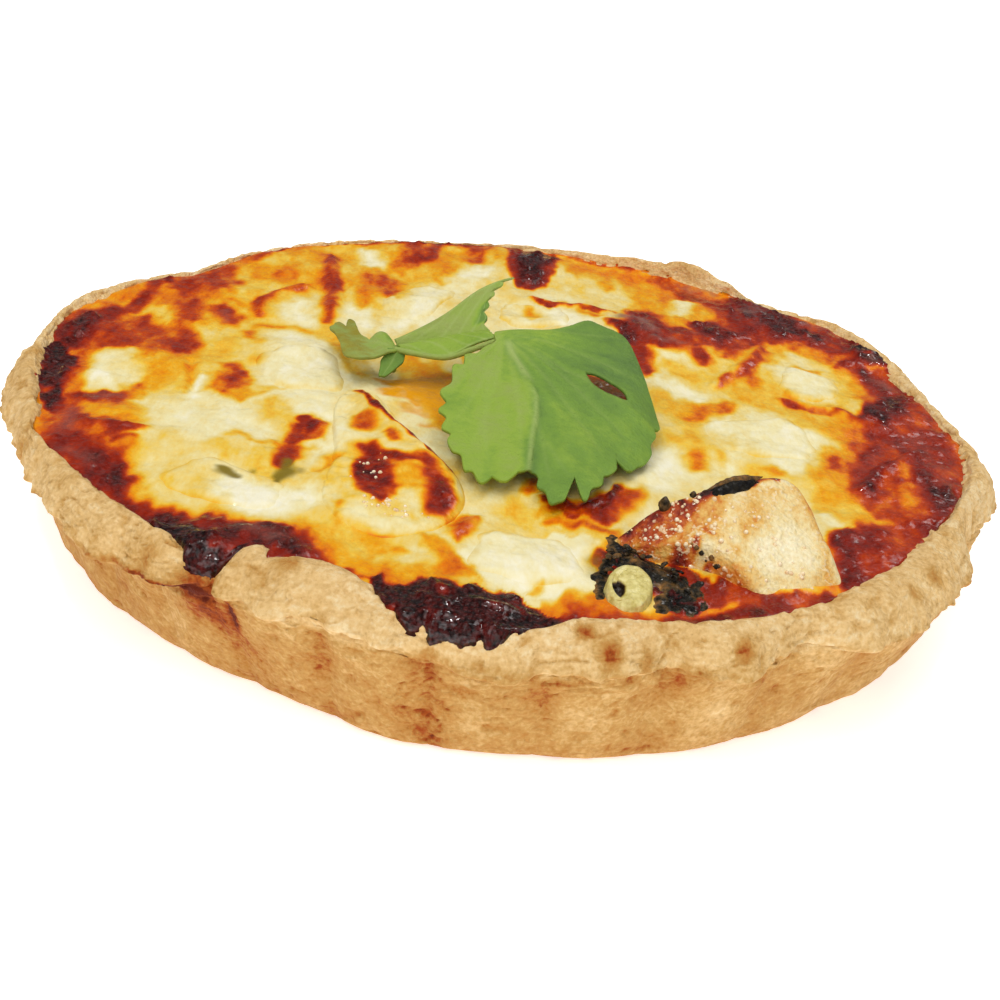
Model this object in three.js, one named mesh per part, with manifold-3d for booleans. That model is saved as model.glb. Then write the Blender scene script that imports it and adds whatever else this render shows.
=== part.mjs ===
// Chicken quiche baked in a 12 cm fluted tartlet tin. Millimetres, +Z up.
// The origin is the middle of the base. Angles are degrees anticlockwise from +X, seen from
// above, and the side at 270 degrees is the front.
import * as THREE from 'three';
import { mergeVertices } from 'three/addons/utils/BufferGeometryUtils.js';
import Module from 'manifold-3d';

const wasm = await Module();
wasm.setup();

// Driving dimensions
const FLUTES = 32;            // ribs round the tin
const COLUMNS_PER_FLUTE = 3;  // facets across one rib
const BASE_RADIUS = 53.5;     // flat bottom of the case
const LIP_UNDERSIDE = 12.2;   // height where the wall meets the lip
const WALL_TOP_RADIUS = 58.0; // wall radius just below the lip
const CREASE_DEPTH = 1.3;     // how far a crease lies behind its ribs
const FLOOR = 3.0;            // thickness of the pastry floor
const FILL_LEVEL = 16.1;      // mean height of the baked filling
const GAP = 0.35;             // clearance between the filling and the crust
const BED_GAP = 0.4;          // clearance round a topping sunk in the filling
const LEAF_THICKNESS = 0.55;

// The crust's outline, as [angle, radius] at the outer edge of the lip, lobe by lobe
const RIM_OUT = [
  [4, 57.6], [15, 56.6], [27, 59.1], [37, 61.2], [47, 59.6], [54, 57.8], [62, 60.4], [68, 61.6],
  [76, 60.6], [85, 59.4], [92, 58.6], [104, 57.4], [122, 58.0], [134, 57.2], [147, 55.2],
  [156, 57.3], [162, 59.6], [171, 59.2], [182, 58.5], [188, 59.4], [198, 60.2], [208, 60.0],
  [220, 61.3], [228, 62.0], [234, 59.9], [239, 60.3], [244, 58.4], [249, 60.6], [253, 58.7],
  [261, 60.9], [264, 58.6], [269, 60.0], [277, 59.1], [281, 59.9], [288, 58.0], [294, 61.2],
  [302, 58.0], [311, 60.7], [322, 59.6], [333, 58.2], [347, 60.4], [356, 57.8],
];
// Inner edge of the crust, where the filling meets it
const RIM_IN = [
  [0, 55.6], [10, 54.4], [20, 54.6], [30, 56.4], [40, 57.4], [50, 55.4], [60, 56.4], [75, 57.2],
  [90, 57.0], [110, 55.8], [122, 56.4], [135, 55.4], [148, 53.6], [160, 56.0], [172, 57.2],
  [187, 57.0], [202, 55.6], [210, 57.3], [218, 56.4], [230, 57.4], [236, 57.2], [242, 57.0],
  [249, 53.6], [258, 52.9], [264, 56.6], [270, 57.6], [275, 56.4], [280, 54.4], [292, 56.2],
  [301, 56.4], [316, 55.6], [328, 54.4], [340, 55.2],
];
// Height of the rim's crest: a raised lobe at the back right, a burst notch at the front left
const CREST = [
  [0, 16.8], [20, 16.8], [36, 17.3], [54, 16.5], [64, 18.6], [69, 19.0], [77, 17.8], [90, 16.9],
  [110, 16.7], [150, 16.4], [170, 17.1], [190, 16.9], [210, 16.8], [228, 17.0], [236, 16.8],
  [243, 14.8], [250, 16.5], [256, 16.8], [264, 15.6], [271, 15.5], [277, 16.5], [300, 16.5],
  [320, 16.8], [346, 17.6],
];
// Where the filling has run over the rim: 1 reaches the middle of the crest, 2 its outer side
const SPILLS = [
  { angle: 243.5, width: 4.4, reach: 1.9 },
  { angle: 265.5, width: 4.0, reach: 1.5 },
  { angle: 271.5, width: 4.2, reach: 1.5 },
  { angle: 183, width: 9, reach: 0.5 },
  { angle: 30, width: 6, reach: 0.7 },
  { angle: 105, width: 22, reach: 0.9 },
];
// Relief of the baked surface: swellings (+) and sunken places (-) as plan position,
// radius and height
const RELIEF = [
  [0, 50, 7, 1.1], [-16, 49, 8, 0.7], [-33, 38, 9, 0.6], [-46, 22, 7, 0.5], [-53, 4, 6, 0.6],
  [36, 38, 8, 1.0], [49, 28, 5, 1.1], [48, 6, 7, 0.7], [49, -14, 8, 0.7], [43, -28, 7, 0.5],
  [15, 26, 9, 0.8], [28, 27, 8, 0.6], [-31, -22, 10, 0.5], [-44, -27, 6, 0.4],
  [-36, 12, 8, -0.4], [22, 8, 7, -0.5], [-12, 4, 9, -0.9], [2, -34, 6, -0.6], [44, 14, 4, -0.3],
  [-22, -47, 6, 0.6], [-28, -50, 4, 0.8], [-3, -54, 6, 0.6], [27, -49, 6, -0.2],
];
// Half-melted cheese: plan position, half width, half depth, turn in degrees, rise
const CHEESES = {
  cheese_front: [3.4, -43.0, 7.2, 6.6, 4, 1.0],
  cheese_left_front: [-28.5, -35.5, 8.2, 5.6, -18, 0.9],
  cheese_left_middle: [-26.0, -1.5, 6.4, 8.6, 20, 1.0],
  cheese_right: [30.5, -5.5, 8.4, 7.4, 12, 0.9],
  cheese_right_back: [38.5, 14.0, 5.2, 6.4, -12, 0.8],
  cheese_back_left: [-14.5, 27.5, 4.8, 9.6, -18, 0.9],
  cheese_back: [1.5, 27.5, 6.2, 5.4, 6, 1.1],
};
// Chicken: footprint, and the ridge that each slice rises to, as plan position and height
const CHICKENS = {
  chicken_right: {
    foot: [
      [14.6, -37.4], [17.0, -31.6], [20.4, -28.6], [26.0, -27.2], [31.6, -26.0], [35.0, -29.4],
      [35.8, -36.0], [34.6, -42.2], [29.8, -44.0], [25.2, -42.4], [20.6, -40.0], [17.0, -38.8],
    ],
    ridge: [[16.4, -34.8, 17.6], [19.0, -31.6, 19.4], [25.2, -31.2, 23.0], [31.2, -29.4, 21.4],
      [34.0, -31.6, 18.8]],
    front: 0.56, back: 2.2,
  },
  chicken_left: {
    foot: [
      [-20.2, -9.4], [-17.2, -7.6], [-12.0, -14.4], [-8.2, -20.4], [-6.0, -25.0], [-4.8, -30.0],
      [-5.6, -35.6], [-10.4, -38.4], [-16.2, -39.2], [-19.4, -31.0], [-19.2, -22.0],
    ],
    ridge: [[-18.6, -9.6, 17.8], [-13.6, -17.8, 19.4], [-9.6, -24.0, 20.0], [-7.4, -26.6, 18.8]],
    front: 0.28, back: 1.6,
  },
};
const CHICKEN_BED = 11.5;     // underside of the slices, sunk in the filling
const ONION = { x: 13.9, y: -46.6, outer: 3.1, tube: 1.25, z: 15.9, stretch: 1.25 };
// Charred herbs, as wilted lumps: middle, half sizes and turn in plan. The first set lies on the
// filling, the second sticks to the ridge of the right-hand chicken.
const HERB_LUMPS = [
  [[13.4, -40.2, 16.4], [2.3, 1.6, 1.3], -35], [[16.2, -40.6, 16.9], [2.4, 1.9, 1.4], 10],
  [[18.7, -42.8, 16.7], [1.8, 2.4, 1.5], 25], [[19.8, -46.0, 16.3], [1.7, 2.3, 1.5], 10],
];
const CHAR_LUMPS = [
  [[22.6, -31.6, 21.7], [1.9, 1.1, 1.0], 5], [[25.2, -31.2, 23.0], [2.2, 1.2, 1.1], 8],
  [[18.3, -31.7, 19.4], [1.1, 1.1, 1.5], 0],
];

// Helpers
const rad = (degrees) => degrees * Math.PI / 180;
const bell = (distance, width) => Math.exp(-((distance / width) ** 2));
const angleGap = (a, b) => ((a - b + 540) % 360) - 180;
const mix = (a, b, t) => a + (b - a) * t;

// Value at an angle of a closed list of [angle, value] pairs, eased between neighbours
function around(list, angle) {
  const turn = ((angle % 360) + 360) % 360;
  let next = list.findIndex(([at]) => at > turn);
  if (next < 0) next = 0;
  const [a0, v0] = list[(next + list.length - 1) % list.length];
  const [a1, v1] = list[next];
  const span = ((a1 - a0) + 360) % 360;
  const t = (((turn - a0) + 360) % 360) / span;
  return mix(v0, v1, (1 - Math.cos(Math.PI * t)) / 2);
}

// The flutes are a little wider at the front left than at the front right
const FIRST_CREASE = 235;
const fluteCount = (angle) => (angle - FIRST_CREASE
  + 3.3 * Math.sin(rad(2 * (angle - FIRST_CREASE)))) * FLUTES / 360;
function angleOfColumn(column) {
  const wanted = column / COLUMNS_PER_FLUTE;
  let angle = FIRST_CREASE + wanted * 360 / FLUTES;
  for (let step = 0; step < 30; step += 1) angle += (wanted - fluteCount(angle)) * 360 / FLUTES;
  return angle;
}
const COLUMNS = FLUTES * COLUMNS_PER_FLUTE;
const ANGLES = Array.from({ length: COLUMNS }, (_, column) => angleOfColumn(column));
const rib = (angle) => Math.abs(Math.sin(Math.PI * fluteCount(angle))) ** 0.6;

function spillReach(angle) {
  return Math.min(1.95, 0.12
    + SPILLS.reduce((sum, s) => sum + s.reach * bell(angleGap(angle, s.angle), s.width), 0));
}

// Height of the filling's baked surface over a plan position
function fillTop(x, y) {
  const ripple = 0.18 * Math.sin(0.31 * x + 0.17 * y) * Math.cos(0.23 * y - 0.09 * x);
  const dome = 0.35 * (1 - (x * x + y * y) / 3136);
  return FILL_LEVEL + dome + ripple
    + RELIEF.reduce((sum, [u, v, r, h]) => sum + h * bell(Math.hypot(x - u, y - v), r), 0);
}

// Closed surface through rings of points. It starts at a pole below, runs outward and up
// the side, and ends at a pole on top. A ring may hold half or twice its neighbour's points.
function solidFromRings(bottom, rings, top) {
  const positions = [];
  const index = [];
  const starts = rings.map((ring) => {
    const start = positions.length / 3;
    ring.forEach((p) => positions.push(...p));
    return start;
  });
  const lower = positions.length / 3;
  positions.push(...bottom, ...top);
  const upper = lower + 1;
  const first = rings[0].length;
  for (let j = 0; j < first; j += 1) index.push(lower, starts[0] + (j + 1) % first, starts[0] + j);
  for (let i = 0; i + 1 < rings.length; i += 1) {
    const n = rings[i].length;
    const m = rings[i + 1].length;
    const a = (j) => starts[i] + j % n;
    const b = (j) => starts[i + 1] + j % m;
    for (let j = 0; j < Math.min(n, m); j += 1) {
      if (n === m) index.push(a(j), a(j + 1), b(j + 1), a(j), b(j + 1), b(j));
      else if (n > m) {
        index.push(a(2 * j), a(2 * j + 1), b(j), a(2 * j + 1), b(j + 1), b(j));
        index.push(a(2 * j + 1), a(2 * j + 2), b(j + 1));
      } else {
        index.push(a(j), b(2 * j + 1), b(2 * j), a(j), a(j + 1), b(2 * j + 1));
        index.push(a(j + 1), b(2 * j + 2), b(2 * j + 1));
      }
    }
  }
  const last = rings.length - 1;
  const n = rings[last].length;
  for (let j = 0; j < n; j += 1) index.push(starts[last] + j, starts[last] + (j + 1) % n, upper);
  const geometry = new THREE.BufferGeometry();
  geometry.setAttribute('position', new THREE.Float32BufferAttribute(positions, 3));
  geometry.setIndex(index);
  return geometry;
}

function toManifold(geometry) {
  const bare = geometry.clone();
  ['normal', 'uv'].forEach((name) => bare.deleteAttribute(name));
  const merged = mergeVertices(bare, 1e-4);
  return new wasm.Manifold(new wasm.Mesh({
    numProp: 3,
    vertProperties: new Float32Array(merged.attributes.position.array),
    triVerts: new Uint32Array(merged.index.array),
  }));
}

function toGeometry(solid) {
  const mesh = solid.getMesh();
  const points = [];
  for (let i = 0; i < mesh.vertProperties.length; i += mesh.numProp) {
    points.push(...mesh.vertProperties.slice(i, i + 3));
  }
  const geometry = new THREE.BufferGeometry();
  geometry.setAttribute('position', new THREE.Float32BufferAttribute(points, 3));
  geometry.setIndex(Array.from(mesh.triVerts));
  return geometry;
}

const cut = (solid, tools) => tools.reduce((rest, tool) => rest.subtract(tool), solid);
const join = (solids) => solids.reduce((sum, solid) => sum.add(solid));

// Pastry case. One section through the crust runs from the base edge up the fluted wall,
// round the ragged lip, over the crest and down the inside to the floor.
function crustSection(angle) {
  const out = around(RIM_OUT, angle);
  const inner = around(RIM_IN, angle);
  const crest = around(CREST, angle);
  const base = BASE_RADIUS + 0.7 * bell(angleGap(angle, 282), 22) - 1.2 * bell(angleGap(angle, 245), 12);
  const crease = CREASE_DEPTH * (1 - rib(angle));
  const wall = (z) => mix(base, WALL_TOP_RADIUS, z / LIP_UNDERSIDE) - crease * (1.1 - 0.04 * z);
  const lip = LIP_UNDERSIDE + 0.7 * Math.sin(rad(angle * 11)) * Math.cos(rad(angle * 7 + 40));
  const under = Math.max(wall(lip), out - 2.2);
  const brim = Math.min(crest - 0.35, FILL_LEVEL + 0.5);
  return [
    [base - 1.4 - crease, 0], [base - 0.3 - crease, 0.5], [wall(2.2), 2.2], [wall(6), 6],
    [wall(lip - 0.8), lip - 0.8], [under, lip + 0.1], [out - 0.25, lip + 0.8],
    [out, lip + 1.6], [mix(out, inner, 0.25), mix(lip + 1.6, crest, 0.6)],
    [mix(out, inner, 0.65), crest], [inner + 0.1, brim], [inner - 0.7, brim - 1.35],
    [inner - 2.6, 10], [inner - 4.2, FLOOR + 1.2], [inner - 6.2, FLOOR],
  ];
}

// The same section moved outward along its normals, to clear a neighbour
function grownSection(section, grow) {
  return section.map(([r, z], i) => {
    const [r0, z0] = section[Math.max(i - 1, 0)];
    const [r1, z1] = section[Math.min(i + 1, section.length - 1)];
    const length = Math.hypot(r1 - r0, z1 - z0);
    return [r + grow * (z1 - z0) / length, z - grow * (r1 - r0) / length];
  });
}

function pastryCase(grow = 0) {
  const sections = ANGLES.map((angle) => grownSection(crustSection(angle), grow));
  const rings = sections[0].map((_, row) => ANGLES.map((angle, column) => {
    const [r, z] = sections[column][row];
    return [r * Math.cos(rad(angle)), r * Math.sin(rad(angle)), z];
  }));
  return solidFromRings([0, 0, rings[0][0][2]], rings, [0, 0, FLOOR + grow]);
}

// Filling: custard and browned cheese, level with the rim. Its underside follows the crust's
// inside and runs on over the crest as far as the spill reaches.
function fillingBody() {
  const polar = (angle, [r, z]) => [r * Math.cos(rad(angle)), r * Math.sin(rad(angle)), z];
  const every = (step) => ANGLES.filter((_, column) => column % step === 0);
  const level = (angle, r) => fillTop(r * Math.cos(rad(angle)), r * Math.sin(rad(angle)));
  const columns = ANGLES.map((angle) => {
    const section = grownSection(crustSection(angle), GAP);
    const reach = spillReach(angle);
    const [outer, crest, inner] = [8, 9, 10].map((row) => section[row]);
    const step = (from, to, t) => [mix(from[0], to[0], t), mix(from[1], to[1], t)];
    const onCrest = step(inner, crest, Math.min(1, reach));
    const edge = step(onCrest, outer, 0.03 + 0.97 * Math.max(0, reach - 1));
    const rim = [edge[0] - 0.15, edge[1] + 0.25 + 0.3 * Math.min(1, reach)];
    const back = [inner[0] - 0.6, Math.max(inner[1] + 0.25 + 0.35 * Math.min(1, reach),
      level(angle, inner[0]) - 0.1)];
    const floorEdge = [section[14][0] - 1, section[14][1]];
    return { angle, rows: [floorEdge, section[13], section[12], section[11], inner, onCrest, edge,
      rim, back] };
  });
  const rings = columns[0].rows.map((_, row) => columns
    .filter((__, column) => row > 0 || column % 2 === 0)
    .map(({ angle, rows }) => polar(angle, rows[row])));
  const inward = [[1, 0.955], [2, 0.9], [2, 0.83], [2, 0.75], [2, 0.66], [2, 0.56], [4, 0.45],
    [4, 0.33], [4, 0.21], [8, 0.1]];
  inward.forEach(([step, part]) => rings.push(every(step).map((angle) => {
    const r = around(RIM_IN, angle) * part;
    return polar(angle, [r, level(angle, r)]);
  })));
  return solidFromRings([0, 0, FLOOR + GAP], rings, [0, 0, fillTop(0, 0)]);
}

// Rounded bead with an uneven skin: its middle, its three half sizes and its turn in plan
function bead([x, y, z], sizes, turn = 0, grow = 0) {
  const geometry = new THREE.IcosahedronGeometry(1, 1);
  const p = geometry.attributes.position;
  for (let i = 0; i < p.count; i += 1) {
    const [u, v, w] = [p.getX(i), p.getY(i), p.getZ(i)];
    const swell = 1 + 0.12 * Math.sin(3.1 * u + x) * Math.cos(3.4 * v + y) * Math.cos(2.9 * w + z);
    p.setXYZ(i, ...[u, v, w].map((c, axis) => c * (sizes[axis] * swell + grow)));
  }
  geometry.rotateZ(rad(turn));
  geometry.translate(x, y, z);
  return geometry;
}

// Tongue of boiled-over filling that runs from the notch down the wall
function drip() {
  const tongue = [[57.0, 15.6, 2.6], [58.7, 15.0, 2.7], [59.0, 13.6, 2.6], [58.2, 12.0, 2.5],
    [57.5, 10.3, 2.1], [56.9, 8.8, 1.5]];
  return join(tongue.map(([r, z, halfWidth]) => toManifold(bead(
    [r * Math.cos(rad(SPILLS[0].angle)), r * Math.sin(rad(SPILLS[0].angle)), z],
    [1.3, halfWidth, 1.5], SPILLS[0].angle))));
}

// Slab of half-melted cheese: a softened square in plan, standing a little out of the filling
function cheeseSlab([x, y, halfWidth, halfDepth, turn, rise], grow = 0) {
  const count = 16;
  const loop = (scale, height) => Array.from({ length: count }, (_, i) => {
    const t = 2 * Math.PI * i / count;
    const wave = 1 + 0.05 * Math.sin(3 * t + x) + 0.04 * Math.cos(5 * t + y);
    const soft = (c) => Math.sign(c) * Math.abs(c) ** 0.62;
    const u = (halfWidth * scale + grow) * soft(Math.cos(t)) * wave;
    const v = (halfDepth * scale + grow) * soft(Math.sin(t)) * wave;
    const px = x + u * Math.cos(rad(turn)) - v * Math.sin(rad(turn));
    const py = y + u * Math.sin(rad(turn)) + v * Math.cos(rad(turn));
    return [px, py, height === undefined ? undefined : height(px, py)];
  });
  const under = () => FILL_LEVEL - 3.4 - grow;
  const above = (part) => (px, py) => fillTop(px, py) + rise * part + grow;
  const rings = [loop(0.9, under), loop(1, (px, py) => fillTop(px, py) - 1.2 - grow),
    loop(0.97, above(0.1)), loop(0.86, above(0.75)), loop(0.5, above(1))];
  return solidFromRings([x, y, under()], rings, [x, y, above(1)(x, y)]);
}

// Chicken: a slice that rises from its footprint to a ridge, with a long face to the front
function chickenHeight({ ridge, front, back }, x, y) {
  let best = { distance: Infinity };
  for (let i = 0; i + 1 < ridge.length; i += 1) {
    const [ax, ay, az] = ridge[i];
    const [bx, by, bz] = ridge[i + 1];
    const length = Math.hypot(bx - ax, by - ay);
    const along = ((x - ax) * (bx - ax) + (y - ay) * (by - ay)) / length ** 2;
    const t = Math.min(1, Math.max(0, along));
    const distance = Math.hypot(x - mix(ax, bx, t), y - mix(ay, by, t));
    const side = (bx - ax) * (y - ay) - (by - ay) * (x - ax);
    if (distance < best.distance) best = { distance, side, z: mix(az, bz, t) };
  }
  return best.z - best.distance * (best.side < 0 ? front : back);
}

const FOOT_POINTS = 28;
function chickenSlice(shape, grow = 0) {
  const outline = new THREE.CatmullRomCurve3(
    shape.foot.map(([x, y]) => new THREE.Vector3(x, y, 0)), true).getPoints(FOOT_POINTS).slice(0, FOOT_POINTS);
  const clockwise = THREE.ShapeUtils.area(outline) < 0;
  if (clockwise) outline.reverse();
  const middle = outline.reduce((sum, p) => sum.add(p), new THREE.Vector3()).divideScalar(FOOT_POINTS);
  const loop = (scale, height) => outline.map((p) => {
    const reach = p.distanceTo(middle);
    const part = (reach * scale + grow) / reach;
    const [x, y] = [mix(middle.x, p.x, part), mix(middle.y, p.y, part)];
    return [x, y, height(x, y)];
  });
  const lowest = grow ? 0.6 : -0.4;
  const top = (x, y) => Math.max(chickenHeight(shape, x, y), fillTop(x, y) + lowest) + grow;
  const bed = () => CHICKEN_BED - grow;
  const rings = [loop(0.86, bed), loop(0.97, () => FILL_LEVEL - 2), loop(1, () => FILL_LEVEL - 0.4),
    loop(0.94, top), loop(0.82, top), loop(0.64, top), loop(0.36, top)];
  return solidFromRings([middle.x, middle.y, bed()], rings,
    [middle.x, middle.y, top(middle.x, middle.y)]);
}

// Ring of spring onion: a short wide tube with a blind hole
function onionRing(grow = 0) {
  const { x, y, outer, tube, z, stretch } = ONION;
  const hole = outer - 2 * tube;
  const wall = [[0, -2.2 - grow], [outer - 0.4, -2.2 - grow], [outer + grow, -1.2],
    [outer + grow, 0.6], [outer - 0.5 + grow, 1.2 + grow], [outer - tube, 1.5 + grow]];
  const blindHole = [[hole + 0.35, 1.1], [hole, 0.4], [hole * 0.85, -0.6], [0, -0.7]];
  const profile = [...wall, ...(grow ? [[0, 1.5 + grow]] : blindHole)];
  const geometry = new THREE.LatheGeometry(profile.map(([r, h]) => new THREE.Vector2(r, h)), 14);
  geometry.rotateX(Math.PI / 2);
  geometry.scale(1 / Math.sqrt(stretch) * 1.04, Math.sqrt(stretch) * 1.04, 1);
  geometry.translate(x, y, z);
  return geometry;
}

// Coriander. Each blade is a thin sheet: the same grid above and below, joined round its edge.
function sheet(rows, thickness, closed) {
  const height = rows.length;
  const width = rows[0].length;
  const point = (i, j) => new THREE.Vector3(...rows[i][(j + width) % width]);
  const positions = [];
  const faces = [];
  for (let side = 0; side < 2; side += 1) {
    for (let i = 0; i < height; i += 1) {
      for (let j = 0; j < width; j += 1) {
        const [left, right] = closed ? [j - 1, j + 1] : [Math.max(j - 1, 0), Math.min(j + 1, width - 1)];
        const across = point(i, right).sub(point(i, left));
        const along = point(Math.min(i + 1, height - 1), j).sub(point(Math.max(i - 1, 0), j));
        const normal = across.cross(along).normalize();
        const p = point(i, j).addScaledVector(normal, (side ? 0.5 : -0.5) * thickness);
        positions.push(p.x, p.y, p.z);
      }
    }
  }
  const id = (side, i, j) => side * height * width + i * width + (j % width);
  const columns = closed ? width : width - 1;
  const quad = (a, b, c, d) => faces.push(a, b, c, a, c, d);
  for (let i = 0; i + 1 < height; i += 1) {
    for (let j = 0; j < columns; j += 1) {
      quad(id(1, i, j), id(1, i, j + 1), id(1, i + 1, j + 1), id(1, i + 1, j));
      quad(id(0, i, j), id(0, i + 1, j), id(0, i + 1, j + 1), id(0, i, j + 1));
    }
  }
  for (let j = 0; j < columns; j += 1) {
    quad(id(0, 0, j), id(0, 0, j + 1), id(1, 0, j + 1), id(1, 0, j));
    quad(id(1, height - 1, j), id(1, height - 1, j + 1), id(0, height - 1, j + 1), id(0, height - 1, j));
  }
  if (!closed) {
    for (let i = 0; i + 1 < height; i += 1) {
      quad(id(1, i, 0), id(1, i + 1, 0), id(0, i + 1, 0), id(0, i, 0));
      quad(id(0, i, width - 1), id(0, i + 1, width - 1), id(1, i + 1, width - 1), id(1, i, width - 1));
    }
  }
  const geometry = new THREE.BufferGeometry();
  geometry.setAttribute('position', new THREE.Float32BufferAttribute(positions, 3));
  geometry.setIndex(faces);
  return geometry;
}

// Terminal leaflet, a sheet between its lobed outline and the slit torn in it. The outline
// runs in plan from the stalk along the smooth back margin to the tips and teeth. The front
// tips lie on the filling, and the blade rises to the stalk.
const LEAF_SLIT = { x: 10.9, y: -7.5, halfLength: 2.6, halfWidth: 0.5, turn: -32 };
const LEAF_EDGE = [
  [-2.7, -0.6], [2.4, 2.4], [8.0, 5.2], [12.1, 4.2], [14.3, 1.0], [15.6, -3.5], [16.5, -7.6],
  [17.2, -12.1], [16.2, -13.2], [17.1, -14.6], [16.4, -18.1], [13.9, -22.3], [11.8, -20.6],
  [11.4, -24.6], [10.3, -27.9], [9.2, -31.5], [8.1, -29.0], [7.7, -27.2], [7.2, -30.0],
  [6.3, -32.3], [5.0, -31.9], [4.4, -29.9], [3.8, -27.2], [2.7, -27.4], [1.7, -26.6], [0.2, -29.6],
  [-0.9, -28.9], [-2.2, -30.6], [-3.2, -29.0], [-4.6, -28.2], [-6.4, -24.8], [-7.2, -21.5],
  [-6.4, -19.4], [-8.2, -15.7], [-7.5, -13.8], [-8.1, -12.3], [-6.8, -9.4], [-6.4, -5.8],
  [-4.4, -3.6],
];
function leafHeight(x, y) {
  const rise = Math.max(0, (y + 32) / 32);
  return 17.7 + 6.0 * rise ** 1.15 - 0.022 * Math.max(0, x - 6) ** 2 + 0.25 * Math.sin(0.55 * x)
    * Math.min(1, rise);
}
function terminalLeaflet() {
  const { x, y, halfLength, halfWidth, turn } = LEAF_SLIT;
  const edge = LEAF_EDGE.slice().reverse();
  const slit = edge.map(([u, v]) => {
    const t = Math.atan2(v - y, u - x) - rad(turn);
    const [a, b] = [halfLength * Math.cos(t), halfWidth * Math.sin(t)];
    return [x + a * Math.cos(rad(turn)) - b * Math.sin(rad(turn)),
      y + a * Math.sin(rad(turn)) + b * Math.cos(rad(turn))];
  });
  const rows = [1, 0.85, 0.55, 0.25, 0].map((part) => edge.map(([u, v], j) => {
    const [px, py] = [mix(slit[j][0], u, part), mix(slit[j][1], v, part)];
    return [px, py, leafHeight(px, py)];
  }));
  return sheet(rows, LEAF_THICKNESS, true);
}

// Side leaflet: a blade along a curved midrib, folded like a V, with toothed margins
function sideLeaflet({ midrib, side, halfWidth, fold, teeth }) {
  const curve = new THREE.CatmullRomCurve3(midrib.map((p) => new THREE.Vector3(...p)));
  const rows = [];
  const count = 12;
  for (let i = 0; i <= count; i += 1) {
    const t = i / count;
    const centre = curve.getPoint(t);
    const tangent = curve.getTangent(t);
    const across = new THREE.Vector3(...side).addScaledVector(tangent,
      -tangent.dot(new THREE.Vector3(...side))).normalize();
    const up = new THREE.Vector3().crossVectors(tangent, across).normalize();
    const swell = Math.sin(Math.PI * Math.min(1, 0.12 + 0.8 * t)) ** 0.7;
    const width = halfWidth * swell * (1 - teeth * Math.abs(Math.sin(Math.PI * 4 * t)));
    rows.push([-1, -0.5, 0, 0.5, 1].map((v) => centre.clone()
      .addScaledVector(across, v * width).addScaledVector(up, fold * Math.abs(v) * width).toArray()));
  }
  return sheet(rows, LEAF_THICKNESS, false);
}

function stalk(points, radius) {
  const curve = new THREE.CatmullRomCurve3(points.map((p) => new THREE.Vector3(...p)));
  const section = new THREE.Shape();
  section.absarc(0, 0, radius, 0, 2 * Math.PI, false);
  return new THREE.ExtrudeGeometry(section, { extrudePath: curve, steps: 6, curveSegments: 4 });
}

const JUNCTION = [-14.6, -1.2, 20.4];
function corianderSprig() {
  const blades = [
    toManifold(terminalLeaflet()),
    toManifold(sideLeaflet({ midrib: [JUNCTION, [-9.8, 2.6, 22.4], [-5.2, 6.4, 24.6], [-1.2, 9.6, 26.4]],
      side: [0.25, -0.55, 0.8], halfWidth: 3.1, fold: 0.3, teeth: 0.16 })),
    toManifold(sideLeaflet({ midrib: [[-14.4, -1.0, 20.3], [-17.6, 2.4, 19.8], [-20.2, 6.2, 19.0],
      [-22.4, 9.8, 18.4]], side: [0.8, 0.5, 0.15], halfWidth: 2.7, fold: 0.25, teeth: 0.4 })),
    toManifold(stalk([[-15.0, -1.0, 20.3], [-10.6, -1.2, 21.6], [-6.2, -1.0, 22.8],
      [-2.2, -1.6, 23.1]], 0.75)),
    toManifold(stalk([[-14.4, -1.0, 20.5], [-15.6, -2.8, 19.2], [-17.0, -4.6, 17.8]], 0.7)),
  ];
  return join(blades);
}

// Assembly. Toppings are sunk in the filling, each cut clear of the ones laid before it.
const chickens = Object.entries(CHICKENS);
const grownChickens = chickens.map(([, shape]) => toManifold(chickenSlice(shape, BED_GAP)));
const onion = toManifold(onionRing());
const grownOnion = toManifold(onionRing(BED_GAP));
const lumps = (list, grow) => join(list.map(([at, sizes, turn]) =>
  toManifold(bead(at, sizes, turn, grow))));
const slices = chickens.map(([name, shape]) => {
  const body = toManifold(chickenSlice(shape));
  return [name, name === 'chicken_right' ? body.add(lumps(CHAR_LUMPS, 0)) : body];
});
const herbs = cut(lumps(HERB_LUMPS, 0), [...grownChickens, grownOnion]);
const grownHerbs = lumps(HERB_LUMPS, BED_GAP);
const slabs = Object.entries(CHEESES).map(([name, place]) => [name,
  cut(toManifold(cheeseSlab(place)), [...grownChickens, grownOnion, grownHerbs])]);
const grownSlabs = Object.values(CHEESES).map((place) => toManifold(cheeseSlab(place, BED_GAP)));
const filling = cut(toManifold(fillingBody()).add(drip().subtract(toManifold(pastryCase(GAP)))),
  [...grownChickens, grownOnion, grownHerbs, ...grownSlabs]);

const material = (color, roughness) => new THREE.MeshStandardMaterial({ color, roughness, metalness: 0 });
const PASTRY = material('#ddb57b', 0.75);
const FILLING = material('#d9953f', 0.45);
const CHEESE = material('#ece2b4', 0.45);
const CHICKEN = material('#e3be84', 0.4);
const HERB = material('#2b2a1c', 0.4);
const ONION_FLESH = material('#cbb16c', 0.4);
const LEAF = material('#7f9e3f', 0.5);

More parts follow.
